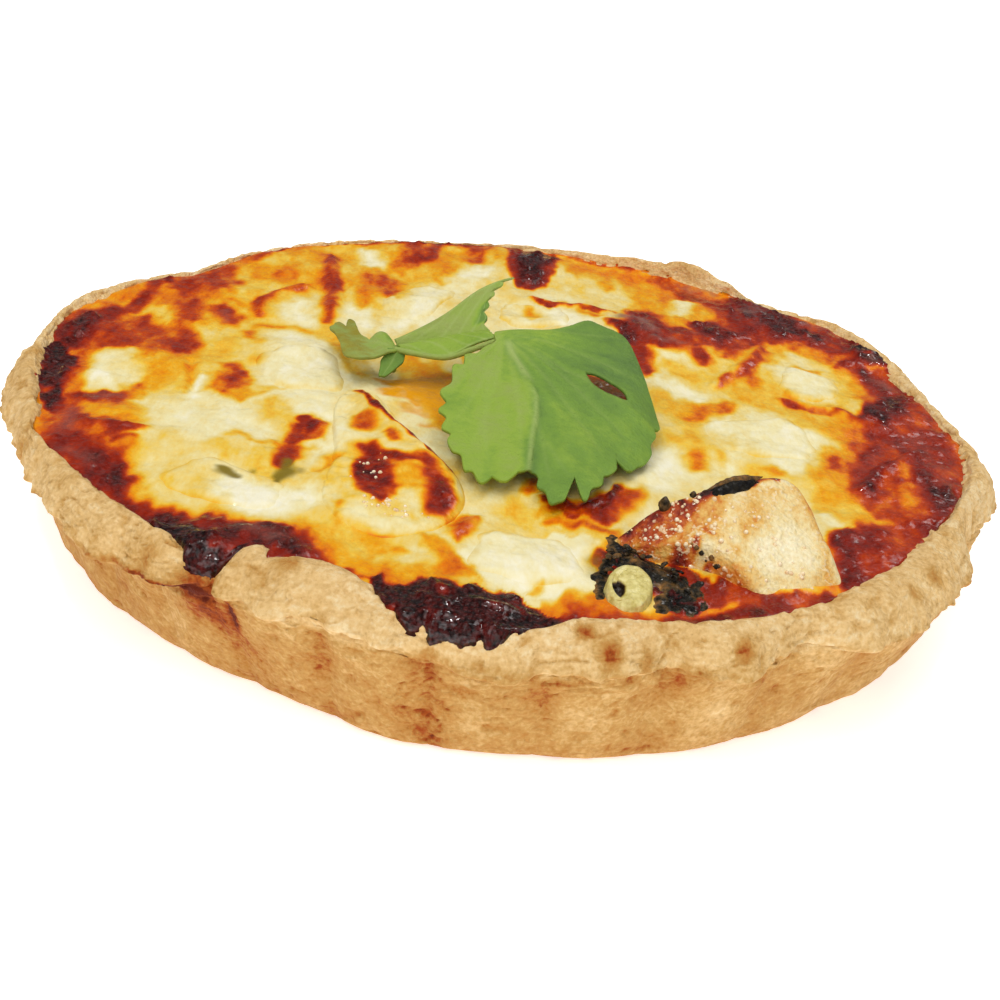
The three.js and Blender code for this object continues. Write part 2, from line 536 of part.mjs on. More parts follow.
const group = new THREE.Group();
function place(name, geometry, look) {
  geometry.computeVertexNormals();
  const mesh = new THREE.Mesh(geometry, look);
  mesh.name = name;
  group.add(mesh);
}
place('pastry_case', pastryCase(), PASTRY);
place('filling', toGeometry(filling), FILLING);
slabs.forEach(([name, solid]) => place(name, toGeometry(solid), CHEESE));
slices.forEach(([name, solid]) => place(name, toGeometry(solid), CHICKEN));
place('charred_herbs', toGeometry(herbs), HERB);
place('spring_onion_ring', toGeometry(onion), ONION_FLESH);
place('coriander_sprig', toGeometry(corianderSprig()), LEAF);

export default group;
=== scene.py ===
# A chicken quiche in a 12 cm fluted pastry case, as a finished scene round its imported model.
# Shapes are given in millimetres and degrees. The camera, the lamps, the floor and the points of
# the meshes are in metres.
import math

import bpy
import numpy as np
from mathutils import Matrix, Vector


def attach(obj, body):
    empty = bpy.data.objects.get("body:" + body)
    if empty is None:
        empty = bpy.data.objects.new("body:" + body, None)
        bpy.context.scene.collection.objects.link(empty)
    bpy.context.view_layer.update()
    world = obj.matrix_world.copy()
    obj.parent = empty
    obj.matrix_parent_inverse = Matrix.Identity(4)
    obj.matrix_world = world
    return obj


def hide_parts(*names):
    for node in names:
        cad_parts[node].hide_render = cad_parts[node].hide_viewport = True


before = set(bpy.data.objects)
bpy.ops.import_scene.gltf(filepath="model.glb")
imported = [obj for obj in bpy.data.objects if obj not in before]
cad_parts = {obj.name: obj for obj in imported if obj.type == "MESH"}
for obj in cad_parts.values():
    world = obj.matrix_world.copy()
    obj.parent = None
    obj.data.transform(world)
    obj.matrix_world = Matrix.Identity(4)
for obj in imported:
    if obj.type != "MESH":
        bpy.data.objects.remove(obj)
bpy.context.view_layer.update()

# Camera. It looks down on the front of the quiche from 26 degrees, held with a slight lean,
# from about 20 cm away, so that the near side looks larger than the far one.
elevation, lean, distance = math.radians(26.47), math.radians(7.17), 0.2053
back = Vector((0, -math.cos(elevation), math.sin(elevation)))
level_side = Vector((1, 0, 0))
level_up = Vector((0, math.sin(elevation), math.cos(elevation)))
side = math.cos(lean) * level_side + math.sin(lean) * level_up
up = math.cos(lean) * level_up - math.sin(lean) * level_side
lens = bpy.data.cameras.new("camera")
lens.lens, lens.sensor_width = 57.6, 36
lens.shift_x, lens.shift_y = 0.0021, 0.0068
lens.clip_start = 0.01
camera = bpy.data.objects.new("camera", lens)
camera.matrix_world = Matrix.Translation(back * distance) @ Matrix((side, up, back)).transposed().to_4x4()
bpy.context.scene.collection.objects.link(camera)
bpy.context.scene.camera = camera

# Studio. A faint even white sky, broad soft lamps to the front left, the front right and
# overhead, a window behind, and two small lamps that put the glints on wet and oily places.
bpy.context.scene.view_settings.view_transform = "Standard"
sky = bpy.data.worlds.new("sky")
sky.use_nodes = True
sky.node_tree.nodes["Background"].inputs["Color"].default_value = (1, 1, 1, 1)
sky.node_tree.nodes["Background"].inputs["Strength"].default_value = 0.16
bpy.context.scene.world = sky
for name, watts, width, place in (
    ("soft_lamp", 5.2, 0.9, (-0.38, -0.66, 0.84)),
    ("fill_lamp", 2.2, 0.9, (0.60, -0.62, 0.50)),
    ("overhead_lamp", 4.0, 1.0, (0.0, -0.1, 1.15)),
    ("window", 0.8, 0.30, (0.40, 0.60, 0.66)),
    ("glint_lamp_right", 0.32, 0.03, (0.10, 0.20, 0.56)),
    ("glint_lamp_left", 0.32, 0.03, (-0.24, 0.04, 0.54)),
):
    lamp = bpy.data.lights.new(name, "AREA")
    lamp.energy, lamp.size = watts, width
    stand = bpy.data.objects.new(name, lamp)
    stand.location = place
    stand.rotation_euler = Vector(place).to_track_quat("Z", "Y").to_euler()
    bpy.context.scene.collection.objects.link(stand)

# Pastry case. Shortcrust pressed into a 32-flute tin and blind baked: a thin fluted wall under a
# thicker ragged lip, pale and sandy on top, more golden where it touched the tin.
FLUTES, FIRST_CREASE, CREASE_DEPTH = 32, 235, 1.3
RIM_RADIUS, BASE_RADIUS, WALL_TOP_RADIUS = 60, 54.3, 58.7
CASE_FLOOR, LIP_UNDERSIDE, FILL_LEVEL = 3.0, 12.2, 16.1
# Outer edge of the lip, inner edge of the crust and height of its crest, by angle
RIM_OUT = [
    (4, 57.4), (15, 57.4), (26, 59.9), (37, 61.2), (47, 59.6), (54, 57.2), (60, 59.4), (65, 61.2),
    (72, 60.2), (85, 59.4), (92, 58.6), (104, 57.4), (122, 58), (134, 57.2), (147, 55.4), (156, 57.6),
    (163, 60), (171, 60.2), (182, 59.4), (190, 60.5), (198, 60.1), (208, 59.8), (218, 60.4), (228, 61.6),
    (234, 60.5), (239.5, 60.2), (242, 58.8), (243.4, 58.4), (244.4, 59.6), (247, 59), (250, 60.2),
    (254, 58.8), (261, 59.4), (265, 59), (270, 60), (277, 59.1), (281, 59.9), (288, 58.2), (294, 60.8),
    (302, 58.2), (311, 60.7), (322, 60.4), (330, 59.2), (339, 56.8), (345, 58.3), (352, 60), (358, 58.6),
]
RIM_IN = [
    (0, 55.6), (10, 54.4), (20, 54.6), (30, 56.4), (40, 57.4), (50, 55.4), (60, 56.4), (75, 57.2),
    (90, 57), (110, 55.8), (122, 56.4), (135, 55.4), (148, 53.6), (160, 56), (172, 57.2), (187, 57),
    (202, 56.5), (210, 58), (218, 57.3), (230, 57.2), (236, 57.4), (241.5, 57.4), (243.3, 56.6),
    (244.2, 54), (245.2, 52.8), (246, 53), (247, 54.6), (248.4, 53.6), (249.8, 52.5), (254, 52.4),
    (258.3, 54), (261, 56.8), (265, 57.4), (270, 57.6), (275, 56.2), (280, 54.4), (292, 55.6), (301, 55.8),
    (316, 54.8), (328, 54), (340, 54.8),
]
CREST = [
    (0, 16.8), (20, 16.8), (36, 17.3), (52, 16.7), (59, 18), (65, 18.9), (71, 17.9), (80, 17.2),
    (92, 16.8), (110, 16.7), (150, 16.4), (170, 17.1), (190, 16.9), (210, 16.8), (228, 17), (236, 16.9),
    (239.6, 16.2), (241.6, 14.8), (243.2, 14.8), (244.5, 16.6), (245.6, 17.1), (247.2, 16.6), (250, 17.4),
    (256, 17.1), (260.5, 16.4), (264, 15.4), (271, 15.4), (276, 16.2), (280, 16.6), (300, 16.5),
    (320, 16.8), (346, 17.6),
]


def bell(distance, width):
    """Smooth bump, 1 in the middle and falling off as exp(-(distance / width) squared)."""
    return np.exp(-((distance / width) ** 2))


def ease(t):
    """Runs from 0 to 1 as t does, with level ends: 3t squared less 2t cubed."""
    t = np.clip(t, 0, 1)
    return t * t * (3 - 2 * t)


def mix(a, b, t):
    """A share t of the way from a to b."""
    return a + (b - a) * t


def lower(a, b, soft):
    """The lower of two heights, rounded off where they cross: half of their sum less the root of
    their squared difference and a little more."""
    return 0.5 * (a + b - np.sqrt((a - b) ** 2 + soft))


def higher(a, b, soft):
    """The higher of two heights, rounded off in the same way."""
    return -lower(-a, -b, soft)


def gap(a, b):
    """Signed angle from b to a, from -180 to 180 degrees."""
    return (a - b + 540) % 360 - 180


def bumps(angle, *places):
    """Sum of smooth bumps round the case, each as its angle, width and height."""
    return sum(height * bell(gap(angle, at), width) for at, width, height in places)


def polar(radius, degrees):
    """Plan position at a radius and an angle."""
    return radius * np.cos(np.radians(degrees)), radius * np.sin(np.radians(degrees))


def turned(a, b, degrees):
    """A plan vector turned counterclockwise."""
    cos, sin = math.cos(math.radians(degrees)), math.sin(math.radians(degrees))
    return a * cos - b * sin, a * sin + b * cos


def points_at(*coordinates):
    """Points from their coordinates, each an array or one number, along a new last axis."""
    return np.stack(np.broadcast_arrays(*coordinates), -1)


def noise(x, y, z, cell, seed):
    """Smooth noise, -1 to 1: random values on a cubic lattice of that cell, eased between its
    eight nearest corners."""
    values = np.random.default_rng(seed).uniform(-1, 1, (32, 32, 32))
    at = np.stack(np.broadcast_arrays(x, y, z)) / cell + 640
    low = np.floor(at).astype(int)
    s, t, w = ease(at - low)
    (i, j, k), (l, m, n) = low % 32, (low + 1) % 32
    front = mix(mix(values[i, j, k], values[l, j, k], s), mix(values[i, m, k], values[l, m, k], s), t)
    behind = mix(mix(values[i, j, n], values[l, j, n], s), mix(values[i, m, n], values[l, m, n], s), t)
    return mix(front, behind, w)


def noises(x, y, z, *layers):
    """Sum of noises, each as its strength, cell and seed."""
    return sum(strength * noise(x, y, z, cell, seed) for strength, cell, seed in layers)


def around(pairs, angle):
    """Value at each angle of a closed list of (angle, value), eased by a cosine between pairs."""
    turns, values = np.array(pairs + [(pairs[0][0] + 360, pairs[0][1])], float).T
    turn = (angle - turns[0]) % 360 + turns[0]
    step = np.clip(np.searchsorted(turns, turn, side="right") - 1, 0, len(pairs) - 1)
    t = (turn - turns[step]) / (turns[step + 1] - turns[step])
    return mix(values[step], values[step + 1], (1 - np.cos(np.pi * t)) / 2)


def creased(angle):
    """How deep in a crease each angle lies, 0 to 1. The flutes between the creases are even round
    the tin, but a little wider at the front left."""
    turn = angle - FIRST_CREASE
    flutes = (turn + 3.3 * np.sin(np.radians(2 * turn))) * FLUTES / 360
    return 1 - np.abs(np.sin(np.pi * flutes)) ** 0.6


def crust_section(angle):
    """Fifteen (radius, height) points through the crust at each angle, from the base's edge up the
    wall, round the lip, over the crest and down the inside to the floor. The last axis is (r, z)."""
    out, inner, crest = (around(pairs, angle) for pairs in (RIM_OUT, RIM_IN, CREST))
    base = BASE_RADIUS + bumps(angle, (282, 22, 0.8), (246, 11, -1.3), (230, 6, -0.7), (312, 9, -0.5),
                               (263, 7, 0.7))
    wall_top = np.minimum(WALL_TOP_RADIUS + bumps(angle, (327, 7, 1.2), (225, 14, -1.1)), out - 0.4)
    crease = CREASE_DEPTH * creased(angle)
    lip = (LIP_UNDERSIDE + 0.7 * np.sin(np.radians(angle * 11)) * np.cos(np.radians(angle * 7 + 40))
           + bumps(angle, (253.5, 8.5, 1.7)))

    def wall(z):
        return mix(base, wall_top, z / LIP_UNDERSIDE) - crease * (0.25 + 0.06 * np.minimum(z, 6))

    brim = np.minimum(crest - 0.35, FILL_LEVEL + 0.5)
    return np.stack([points_at(*point) for point in (
        (base - 1.4 - 0.3 * crease, 0), (base - 0.3 - 0.3 * crease, 0.5), (wall(2.2), 2.2), (wall(6), 6),
        (wall(lip - 0.8), lip - 0.8), (np.maximum(wall(lip), out - 2.2), lip + 0.1),
        (out - 0.3, lip + 0.6), (out, lip + 1.1), (mix(out, inner, 0.3), mix(lip + 1.1, crest, 0.66)),
        (mix(out, inner, 0.7), crest), (inner + 0.1, brim), (inner - 0.7, brim - 1.35),
        (inner - 2.6, 10), (inner - 4.2, CASE_FLOOR + 1.2), (inner - 6.2, CASE_FLOOR))])


def through(points, steps):
    """Catmull-Rom curve through points along the first axis, cut into so many steps a stretch,
    given as one number or as one for each."""
    points = np.array(points, float)
    ends = np.concatenate([points[:1], points, points[-1:]])
    rows = []
    for i, count in enumerate(np.broadcast_to(steps, len(points) - 1)):
        a, b, c, d = ends[i:i + 4]
        t = (np.arange(count) / count).reshape(-1, *[1] * (points.ndim - 1))
        rows.append(0.5 * (2 * b + (c - a) * t + (2 * a - 5 * b + 4 * c - d) * t ** 2
                           + (3 * b - a - 3 * c + d) * t ** 3))
    return np.concatenate(rows + [points[-1:]])


def outlined(points, steps):
    """The same curve through a closed outline, which ends one step before it starts."""
    return through(points[-1:] + points + points[:2], steps)[steps:-steps - 1]


def ring_faces(rings, columns, closed=True):
    """Quads between neighbouring rings of a grid whose points are numbered ring by ring."""
    i = np.arange(rings - 1)[:, None] * columns
    j = np.arange(columns if closed else columns - 1)[None, :]
    k = (j + 1) % columns
    return np.stack([i + j, i + k, i + columns + k, i + columns + j], -1).reshape(-1, 4)


def pole_faces(ring, pole, upward):
    """Triangles from a ring of point numbers to one pole, facing up or down."""
    following = np.roll(ring, -1)
    first, second = (ring, following) if upward else (following, ring)
    return np.stack([first, second, np.full_like(ring, pole)], -1)


def capped(rings, columns, first=0):
    """Faces of closed rings with a pole at either end: points are numbered from first, ring by
    ring, and then come the poles."""
    count = rings * columns
    return [faces + first for faces in (
        ring_faces(rings, columns), pole_faces(np.arange(columns), count, False),
        pole_faces(np.arange(count - columns, count), count + 1, True))]


def unit(vectors):
    """The same directions with length 1."""
    return vectors / (np.linalg.norm(vectors, axis=-1, keepdims=True) + 1e-12)


def normals(grid, closed=True):
    """Unit normals of a grid of points, rings first: the step along a ring crossed with the step
    to the next ring."""
    along = np.roll(grid, -1, 1) - np.roll(grid, 1, 1) if closed else np.gradient(grid, axis=1)
    return unit(np.cross(along, np.gradient(grid, axis=0)))


def make_piece(name, parts, faces, finish, slot, nodes, marks):
    """Makes a smooth mesh from arrays of points in millimetres and arrays of faces, and ties it to
    the frame. Each mark is the values of its first points and the value of the rest."""
    mesh = bpy.data.meshes.new(name)
    points = np.concatenate([np.reshape(part, (-1, 3)) for part in parts])
    mesh.from_pydata(points / 1000, [], [face for group in faces for face in group.tolist()])
    mesh.shade_smooth()
    for mark, (values, rest) in marks.items():
        filled = np.full(len(points), rest, np.float32)
        filled[:np.size(values)] = np.ravel(values)
        mesh.attributes.new(mark, "FLOAT", "POINT").data.foreach_set("value", filled)
    mesh.materials.append(finish)
    piece = bpy.data.objects.new(name, mesh)
    bpy.context.scene.collection.objects.link(piece)
    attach(piece, "root")
    if nodes:
        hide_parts(*nodes)


def linear(colour):
    """An sRGB colour out of 255 as the linear one that a shader takes."""
    share = np.array(colour, float) / 255
    return (*np.where(share < 0.04045, share / 12.92, ((share + 0.055) / 1.055) ** 2.4), 1.0)


class Wire:
    """A socket in a material. Sums and products of it are Math nodes, and node() adds any other."""

    def __init__(self, tree, socket=None):
        self.tree, self.socket = tree, socket

    def node(self, kind, settings=None, inputs=None, output=0):
        """Adds a node: first its settings, a ramp's stops among them, then its inputs' values or
        wires. Returns the wire of one of its outputs."""
        made = self.tree.nodes.new(kind)
        for name, value in (settings or {}).items():
            if name == "stops":
                while len(made.color_ramp.elements) < len(value):
                    made.color_ramp.elements.new(1)
                for element, (place, *colour) in zip(made.color_ramp.elements, value):
                    element.position, element.color = place, linear(colour)
            else:
                setattr(made, name, value)
        for name, value in (inputs or {}).items():
            if isinstance(value, Wire):
                self.tree.links.new(value.socket, made.inputs[name])
            else:
                made.inputs[name].default_value = value
        return Wire(self.tree, made.outputs[output])

    def sum(self, operation, *values):
        """A Math node on these values."""
        return self.node("ShaderNodeMath", {"operation": operation}, dict(enumerate(values)))

    def __add__(self, other):
        return self.sum("ADD", self, other)

    def __sub__(self, other):
        return self.sum("SUBTRACT", self, other)

    def __rsub__(self, other):
        return self.sum("SUBTRACT", other, self)

    def __mul__(self, other):
        return self.sum("MULTIPLY", self, other)

    __radd__, __rmul__ = __add__, __mul__

    def ramp(self, stops):
        """A Color Ramp of (place, red, green, blue) stops in sRGB, driven by this wire."""
        return self.node("ShaderNodeValToRGB", {"stops": stops}, {"Fac": self})

    def above(self, limit):
        """How far this wire lies above a limit, and otherwise 0."""
        return self.sum("MAXIMUM", self - limit, 0.0)

    def mixed(self, below, above):
        """Two colours mixed by this wire, each a wire or an sRGB colour."""
        colours = [c if isinstance(c, Wire) else linear(c) for c in (below, above)]
        return self.node("ShaderNodeMix", {"data_type": "RGBA"}, {0: self, 6: colours[0], 7: colours[1]}, 2)

    def grain(self, size, detail=2.0, stretch=(1, 1, 1)):
        """Noise of blobs of that size in millimetres, from 0 to 1, on Object coordinates."""
        place = self.node("ShaderNodeTexCoord", output=3)
        place = self.node("ShaderNodeMapping", {}, {"Vector": place, "Scale": stretch})
        return self.node(
            "ShaderNodeTexNoise", {}, {"Vector": place, "Scale": 1000 / size, "Detail": detail})

    def beads(self, size):
        """Round beads of that size in millimetres: 1 at their middles, falling to their edges."""
        place = self.node("ShaderNodeTexCoord", output=3)
        near = self.node("ShaderNodeTexVoronoi", {}, {"Vector": place, "Scale": 1000 / size})
        return 1 - near * near * 1.6

    def mark(self, name):
        """The named value that the mesh holds per point."""
        return self.node("ShaderNodeAttribute", {"attribute_name": name}, output=2)


def make_finish(name, build, wet=None, **settings):
    """Makes a material: settings go on the shader's own sockets, build(wire) returns the varying
    colour, roughness and bump height as wires, with the bump's depth in millimetres, and wet(wire)
    how much of a clear wet coat lies over it."""
    material = bpy.data.materials.new(name)
    material.use_nodes = True
    tree = material.node_tree
    shader = tree.nodes["Principled BSDF"]
    for socket, value in settings.items():
        shader.inputs[socket.replace("_", " ")].default_value = value
    colour, roughness, height, depth = build(Wire(tree))
    bump = height.node("ShaderNodeBump", {}, {"Height": height, "Distance": depth / 1000, "Strength": 1.0})
    for socket, wire in (("Base Color", colour), ("Roughness", roughness), ("Normal", bump)):
        tree.links.new(wire.socket, shader.inputs[socket])
    if wet:
        tree.links.new(wet(Wire(tree)).socket, shader.inputs["Coat Weight"])
    return material


# The lip's edge is torn and its top sandy; the wall is pressed into soft flutes and flakes under
# the lip. Points round the case, and steps between the points of its section
COLUMNS, ROWS = 864, [3, 6, 13, 19, 8, 6, 6, 11, 11, 9, 6, 3, 2, 2]
angles = np.arange(COLUMNS) * 360 / COLUMNS
section = crust_section(angles)
rim = (*polar(RIM_RADIUS, angles), 0)
torn = noises(*rim, (0.34, 3.2, 11), (0.34, 1.4, 12), (0.24, 0.8, 23))
section[6:9, :, 0] += torn * np.array([[1], [1], [0.5]])
section[5:9, :, 1] += 0.26 * noise(*rim, 2.3, 13)
profile = through(section, ROWS)
case = points_at(*polar(profile[..., 0], angles), profile[..., 1])
x, y, z = np.moveaxis(case, -1, 0)
shown = ease((z - 0.1) / 0.8)
wall_part = ease((14 - z) / 1.6) * (np.hypot(x, y) > 52)
rough = noises(x, y, z, (0.10, 4.2, 14), (0.09, 1.9, 15), (0.11, 0.9, 16))
# Layers of the dough: noise drawn out along the rim climbs slowly and falls in sharp steps
layer = noises(x, y, z * 3.2, (1.7, 5, 24), (0.5, 1.6, 25))
step = layer - np.floor(layer)
flakes = (step - ease((step - 0.82) / 0.18)) * ease((z - 8.5) / 2.5)
cracks = (ease((0.05 - np.abs(noise(x, y, z * 3, 5, 17))) / 0.05)
          * ease((noise(x, y, z, 7, 18) - 0.05) / 0.3))
pits = ease((noise(x, y, z, 1.5, 19) - 0.42) / 0.3)
ledges = wall_part * ease((z - 8) / 3) * np.maximum(0, noise(x, y, z * 3.4, 4.2, 22))
raised = rough + 0.26 * flakes - 0.22 * cracks - 0.2 * pits + 0.4 * ledges
case += normals(case) * (shown * raised)[..., None]
case[..., 2] = np.maximum(case[..., 2], 0)
toast = (0.26 + wall_part * (0.15 + 0.06 * creased(angles) + bumps(angles, (270, 24, 0.06)))
         + bumps(angles, (218, 34, 0.07), (150, 30, -0.05))
         + noises(x, y, z, (0.06, 6, 20), (0.05, 2.2, 21))
         + 0.2 * cracks + 0.14 * pits - 0.1 * ledges - 0.1 * flakes)
# Places of the wall that took more colour, or less, and painted shadow: angle, height, half width and
# half height of the place, and how much. The narrow dark bands just under the lip, at 221, 231.5,
# 236.4, 239.8, 268.8, 278.6 and 281 degrees, and the thin upright one at 245.4 degrees, are painted
# shadow cast by the lip's edge
WALL_STAINS_AND_SHADOWS = [
    (265.5, 9.5, 1.8, 4.5, 0.16), (266.6, 3, 2, 3.5, 0.12), (262, 5.5, 2.6, 2.4, 0.14),
    (276.5, 9.5, 1.4, 3, 0.24), (289, 11.8, 1.7, 2.2, 0.34), (285.5, 2.4, 3, 1.6, 0.06),
    (255, 9.5, 1.5, 4, 0.16), (298, 10.5, 1.6, 2.4, 0.22), (314, 11, 3, 3, 0.16), (328, 11, 6, 4, 0.26),
    (270.5, 5, 1.8, 3, -0.14), (281, 6.5, 2.6, 4, -0.12), (294.5, 5.5, 2.6, 4, -0.14),
    (236.5, 5.5, 2.4, 3, -0.12), (230, 8, 2, 3, -0.1), (247.5, 6, 2.2, 3, 0.12),
    (221, 12.6, 2.2, 0.9, 0.3), (241.7, 10.8, 3, 2.5, 0.5), (241, 12.7, 1.8, 0.9, 0.22),
    (243.8, 9, 1.6, 1.8, 0.2), (245.4, 11.6, 0.4, 2.8, 0.8), (231.5, 13, 2.6, 0.4, 0.4),
    (236.4, 12.9, 2.6, 0.4, 0.7), (239.8, 12.9, 2, 0.5, 0.9), (276.6, 12.4, 1, 1, -0.5),
    (278.6, 11.4, 1.2, 0.25, 0.4), (281, 10.6, 1.6, 0.25, 0.35), (268.8, 12, 2, 0.3, 0.35),
]
bearing = np.degrees(np.arctan2(y, x))
for angle, height, width, tall, depth in WALL_STAINS_AND_SHADOWS:
    toast = toast + 0.75 * depth * wall_part * bell(gap(bearing, angle), width) * bell(z - height, tall)
# Dark freckles of the lip: plan position, radius and depth of colour
FRECKLES = [
    (-19, -52, 1.3, 0.35), (12, -57.6, 1.2, 0.6), (18, -60, 2, 0.5), (24.7, -54.2, 1.1, 0.6),
    (46, -35.6, 1.2, 0.35), (9.6, -56, 0.9, 0.5), (43, -39.6, 0.9, 0.3), (-45, -44, 1.6, 0.22),
    (-57, -8, 1.4, 0.2), (-52, -30, 1.3, 0.25), (-33, -50, 1.4, 0.2), (6, -60, 0.8, 0.3),
    (33, -51, 1.2, 0.25), (15.5, -56.6, 0.7, 0.35), (53, -24, 1.4, 0.25), (20, -57.4, 0.6, 0.3),
]
for u, v, radius, depth in FRECKLES:
    toast = toast + depth * bell(np.hypot(x - u, y - v), radius) * (z > 13)
# What ran out through the notch at the front left stained the lip under it
toast = toast + bumps(bearing, (241.9, 1.8, 0.6)) * bell(z - 14, 1.5) * (np.hypot(x, y) > 56)
make_piece(
    "crust", [case, (0, 0, 0), (0, 0, CASE_FLOOR)], capped(*case.shape[:2]),
    make_finish(
        "baked_pastry",
        lambda w: (
            (w.mark("toast") + 0.20 * w.grain(2.4, 3) + 0.28 * w.grain(1.0, 3) + 0.44 * w.grain(0.42, 3)
             - 0.08 * w.beads(0.9) - 0.42).ramp([
                (0, 250, 226, 178), (0.22, 235, 196, 134), (0.42, 208, 161, 92),
                (0.6, 192, 134, 64), (0.78, 168, 78, 24), (1, 104, 36, 14)]),
            w.grain(1.5) * 0.2 + 0.62,
            w.grain(0.42, 4) + w.grain(1.2, 3) * 0.8 + w.beads(0.9) * 0.15, 0.34),
        Specular_IOR_Level=0.15),
    "pastry", ["pastry_case"], {"toast": (toast, 0.4)})

# Filling. Custard with melted cheese, baked until its skin blistered: pale where chunks of cheese
# lay, golden round them and burnt red-brown to black along the rim, where it ran over the crust.
# Swellings (+) and sunken places (-) of the baked top: plan position, radius and height
RELIEF = [
    (0, 50, 7, 1.1), (-16, 49, 8, 0.7), (-33, 38, 9, 0.6), (-46, 22, 7, 0.5), (-53, 4, 6, 0.6),
    (36, 38, 8, 1), (49, 28, 5, 1.1), (48, 6, 7, 0.7), (49, -14, 8, 0.7), (43, -28, 7, 0.5),
    (15, 26, 9, 0.8), (28, 27, 8, 0.6), (-31, -22, 10, 0.5), (-44, -27, 6, 0.4), (-36, 12, 8, -0.4),
    (22, 8, 7, -0.5), (-12, 4, 9, -0.9), (2, -34, 6, -0.6), (44, 14, 4, -0.3), (-22, -47, 6, 0.6),
    (-28, -50, 4, 0.8), (-3, -54, 6, 0.6), (27, -49, 6, -0.2),
]


def fill_top(x, y):
    """Height of the custard: a low dome, a slow ripple and the swellings and hollows of RELIEF."""
    ripple = 0.18 * np.sin(0.31 * x + 0.17 * y) * np.cos(0.23 * y - 0.09 * x)
    height = FILL_LEVEL + 0.35 * (1 - (x * x + y * y) / 56 ** 2) + ripple
    for u, v, radius, rise in RELIEF:
        height = height + rise * bell(np.hypot(x - u, y - v), radius)
    return height


def brush(x, y, path, soft):
    """Cover, 0 to 1, of a brush drawn through (x, y, half width) points: how deep a place lies in
    the nearest tapering stretch, eased over soft millimetres about the brush's edge."""
    depth = np.full(x.shape, -99.0)
    for (ax, ay, aw), (bx, by, bw) in zip(path, path[1:] or path):
        dx, dy = bx - ax, by - ay
        t = np.clip(((x - ax) * dx + (y - ay) * dy) / (dx * dx + dy * dy + 1e-9), 0, 1)
        depth = np.maximum(depth, mix(aw, bw, t) - np.hypot(x - ax - t * dx, y - ay - t * dy))
    return ease(0.5 + depth / soft)


def painted(x, y, strokes, start=0, halo=0, swell=1):
    """Lays strokes over start in turn, each pulling the value towards its own level by its cover.
    With a halo, a stroke deeper than that level first raises its surroundings to it."""
    value = np.zeros_like(x) + start
    for level, soft, *path in strokes:
        path = [(px, py, width * swell) for px, py, width in path]
        xs, ys, ws = zip(*path)
        reach = max(ws) + soft + 4
        near = ((x > min(xs) - reach) & (x < max(xs) + reach)
                & (y > min(ys) - reach) & (y < max(ys) + reach))
        if 0 < halo < level:
            glow = halo * brush(x[near], y[near], [(px, py, w + 0.6) for px, py, w in path], 6)
            value[near] = np.maximum(value[near], glow)
        value[near] += (level - value[near]) * brush(x[near], y[near], path, soft)
    return value


# Browning of the top, from 0 for white cheese to 1 for black, each stroke as its level, the
# softness of its edge and its path of plan position and half width. Two pale strokes on the left are
# painted highlights, as noted where they stand
BASE = [
    (0.36, 8, (-44, 8, 6), (-39, 26, 8), (-28, 37, 8), (-10, 48, 6), (8, 50, 4)),
    (0.38, 6, (12, 48, 5), (20, 42, 6), (30, 32, 5)),
    (0.5, 8, (22, 50, 3), (36, 38, 5), (48, 26, 4), (52, 6, 5), (50, -16, 6), (44, -30, 5)),
    (0.36, 6, (30, 12, 3), (40, 4, 4), (37, -14, 3), (40, -22, 4)),
    (0.33, 6, (22, 6, 3), (20, -2, 3), (20, -12, 3)),
    (0.27, 6, (-36, -14, 3), (-33, -24, 4), (-20, -32, 3), (-12, -42, 3)),
    (0.3, 5, (-40, 4, 3), (-30, 10, 3), (-20, 8, 3)),
    (0.42, 6, (-50, 2, 4), (-50, -20, 4), (-44, -32, 4), (-30, -44, 4), (-12, -50, 3), (6, -52, 2)),
]
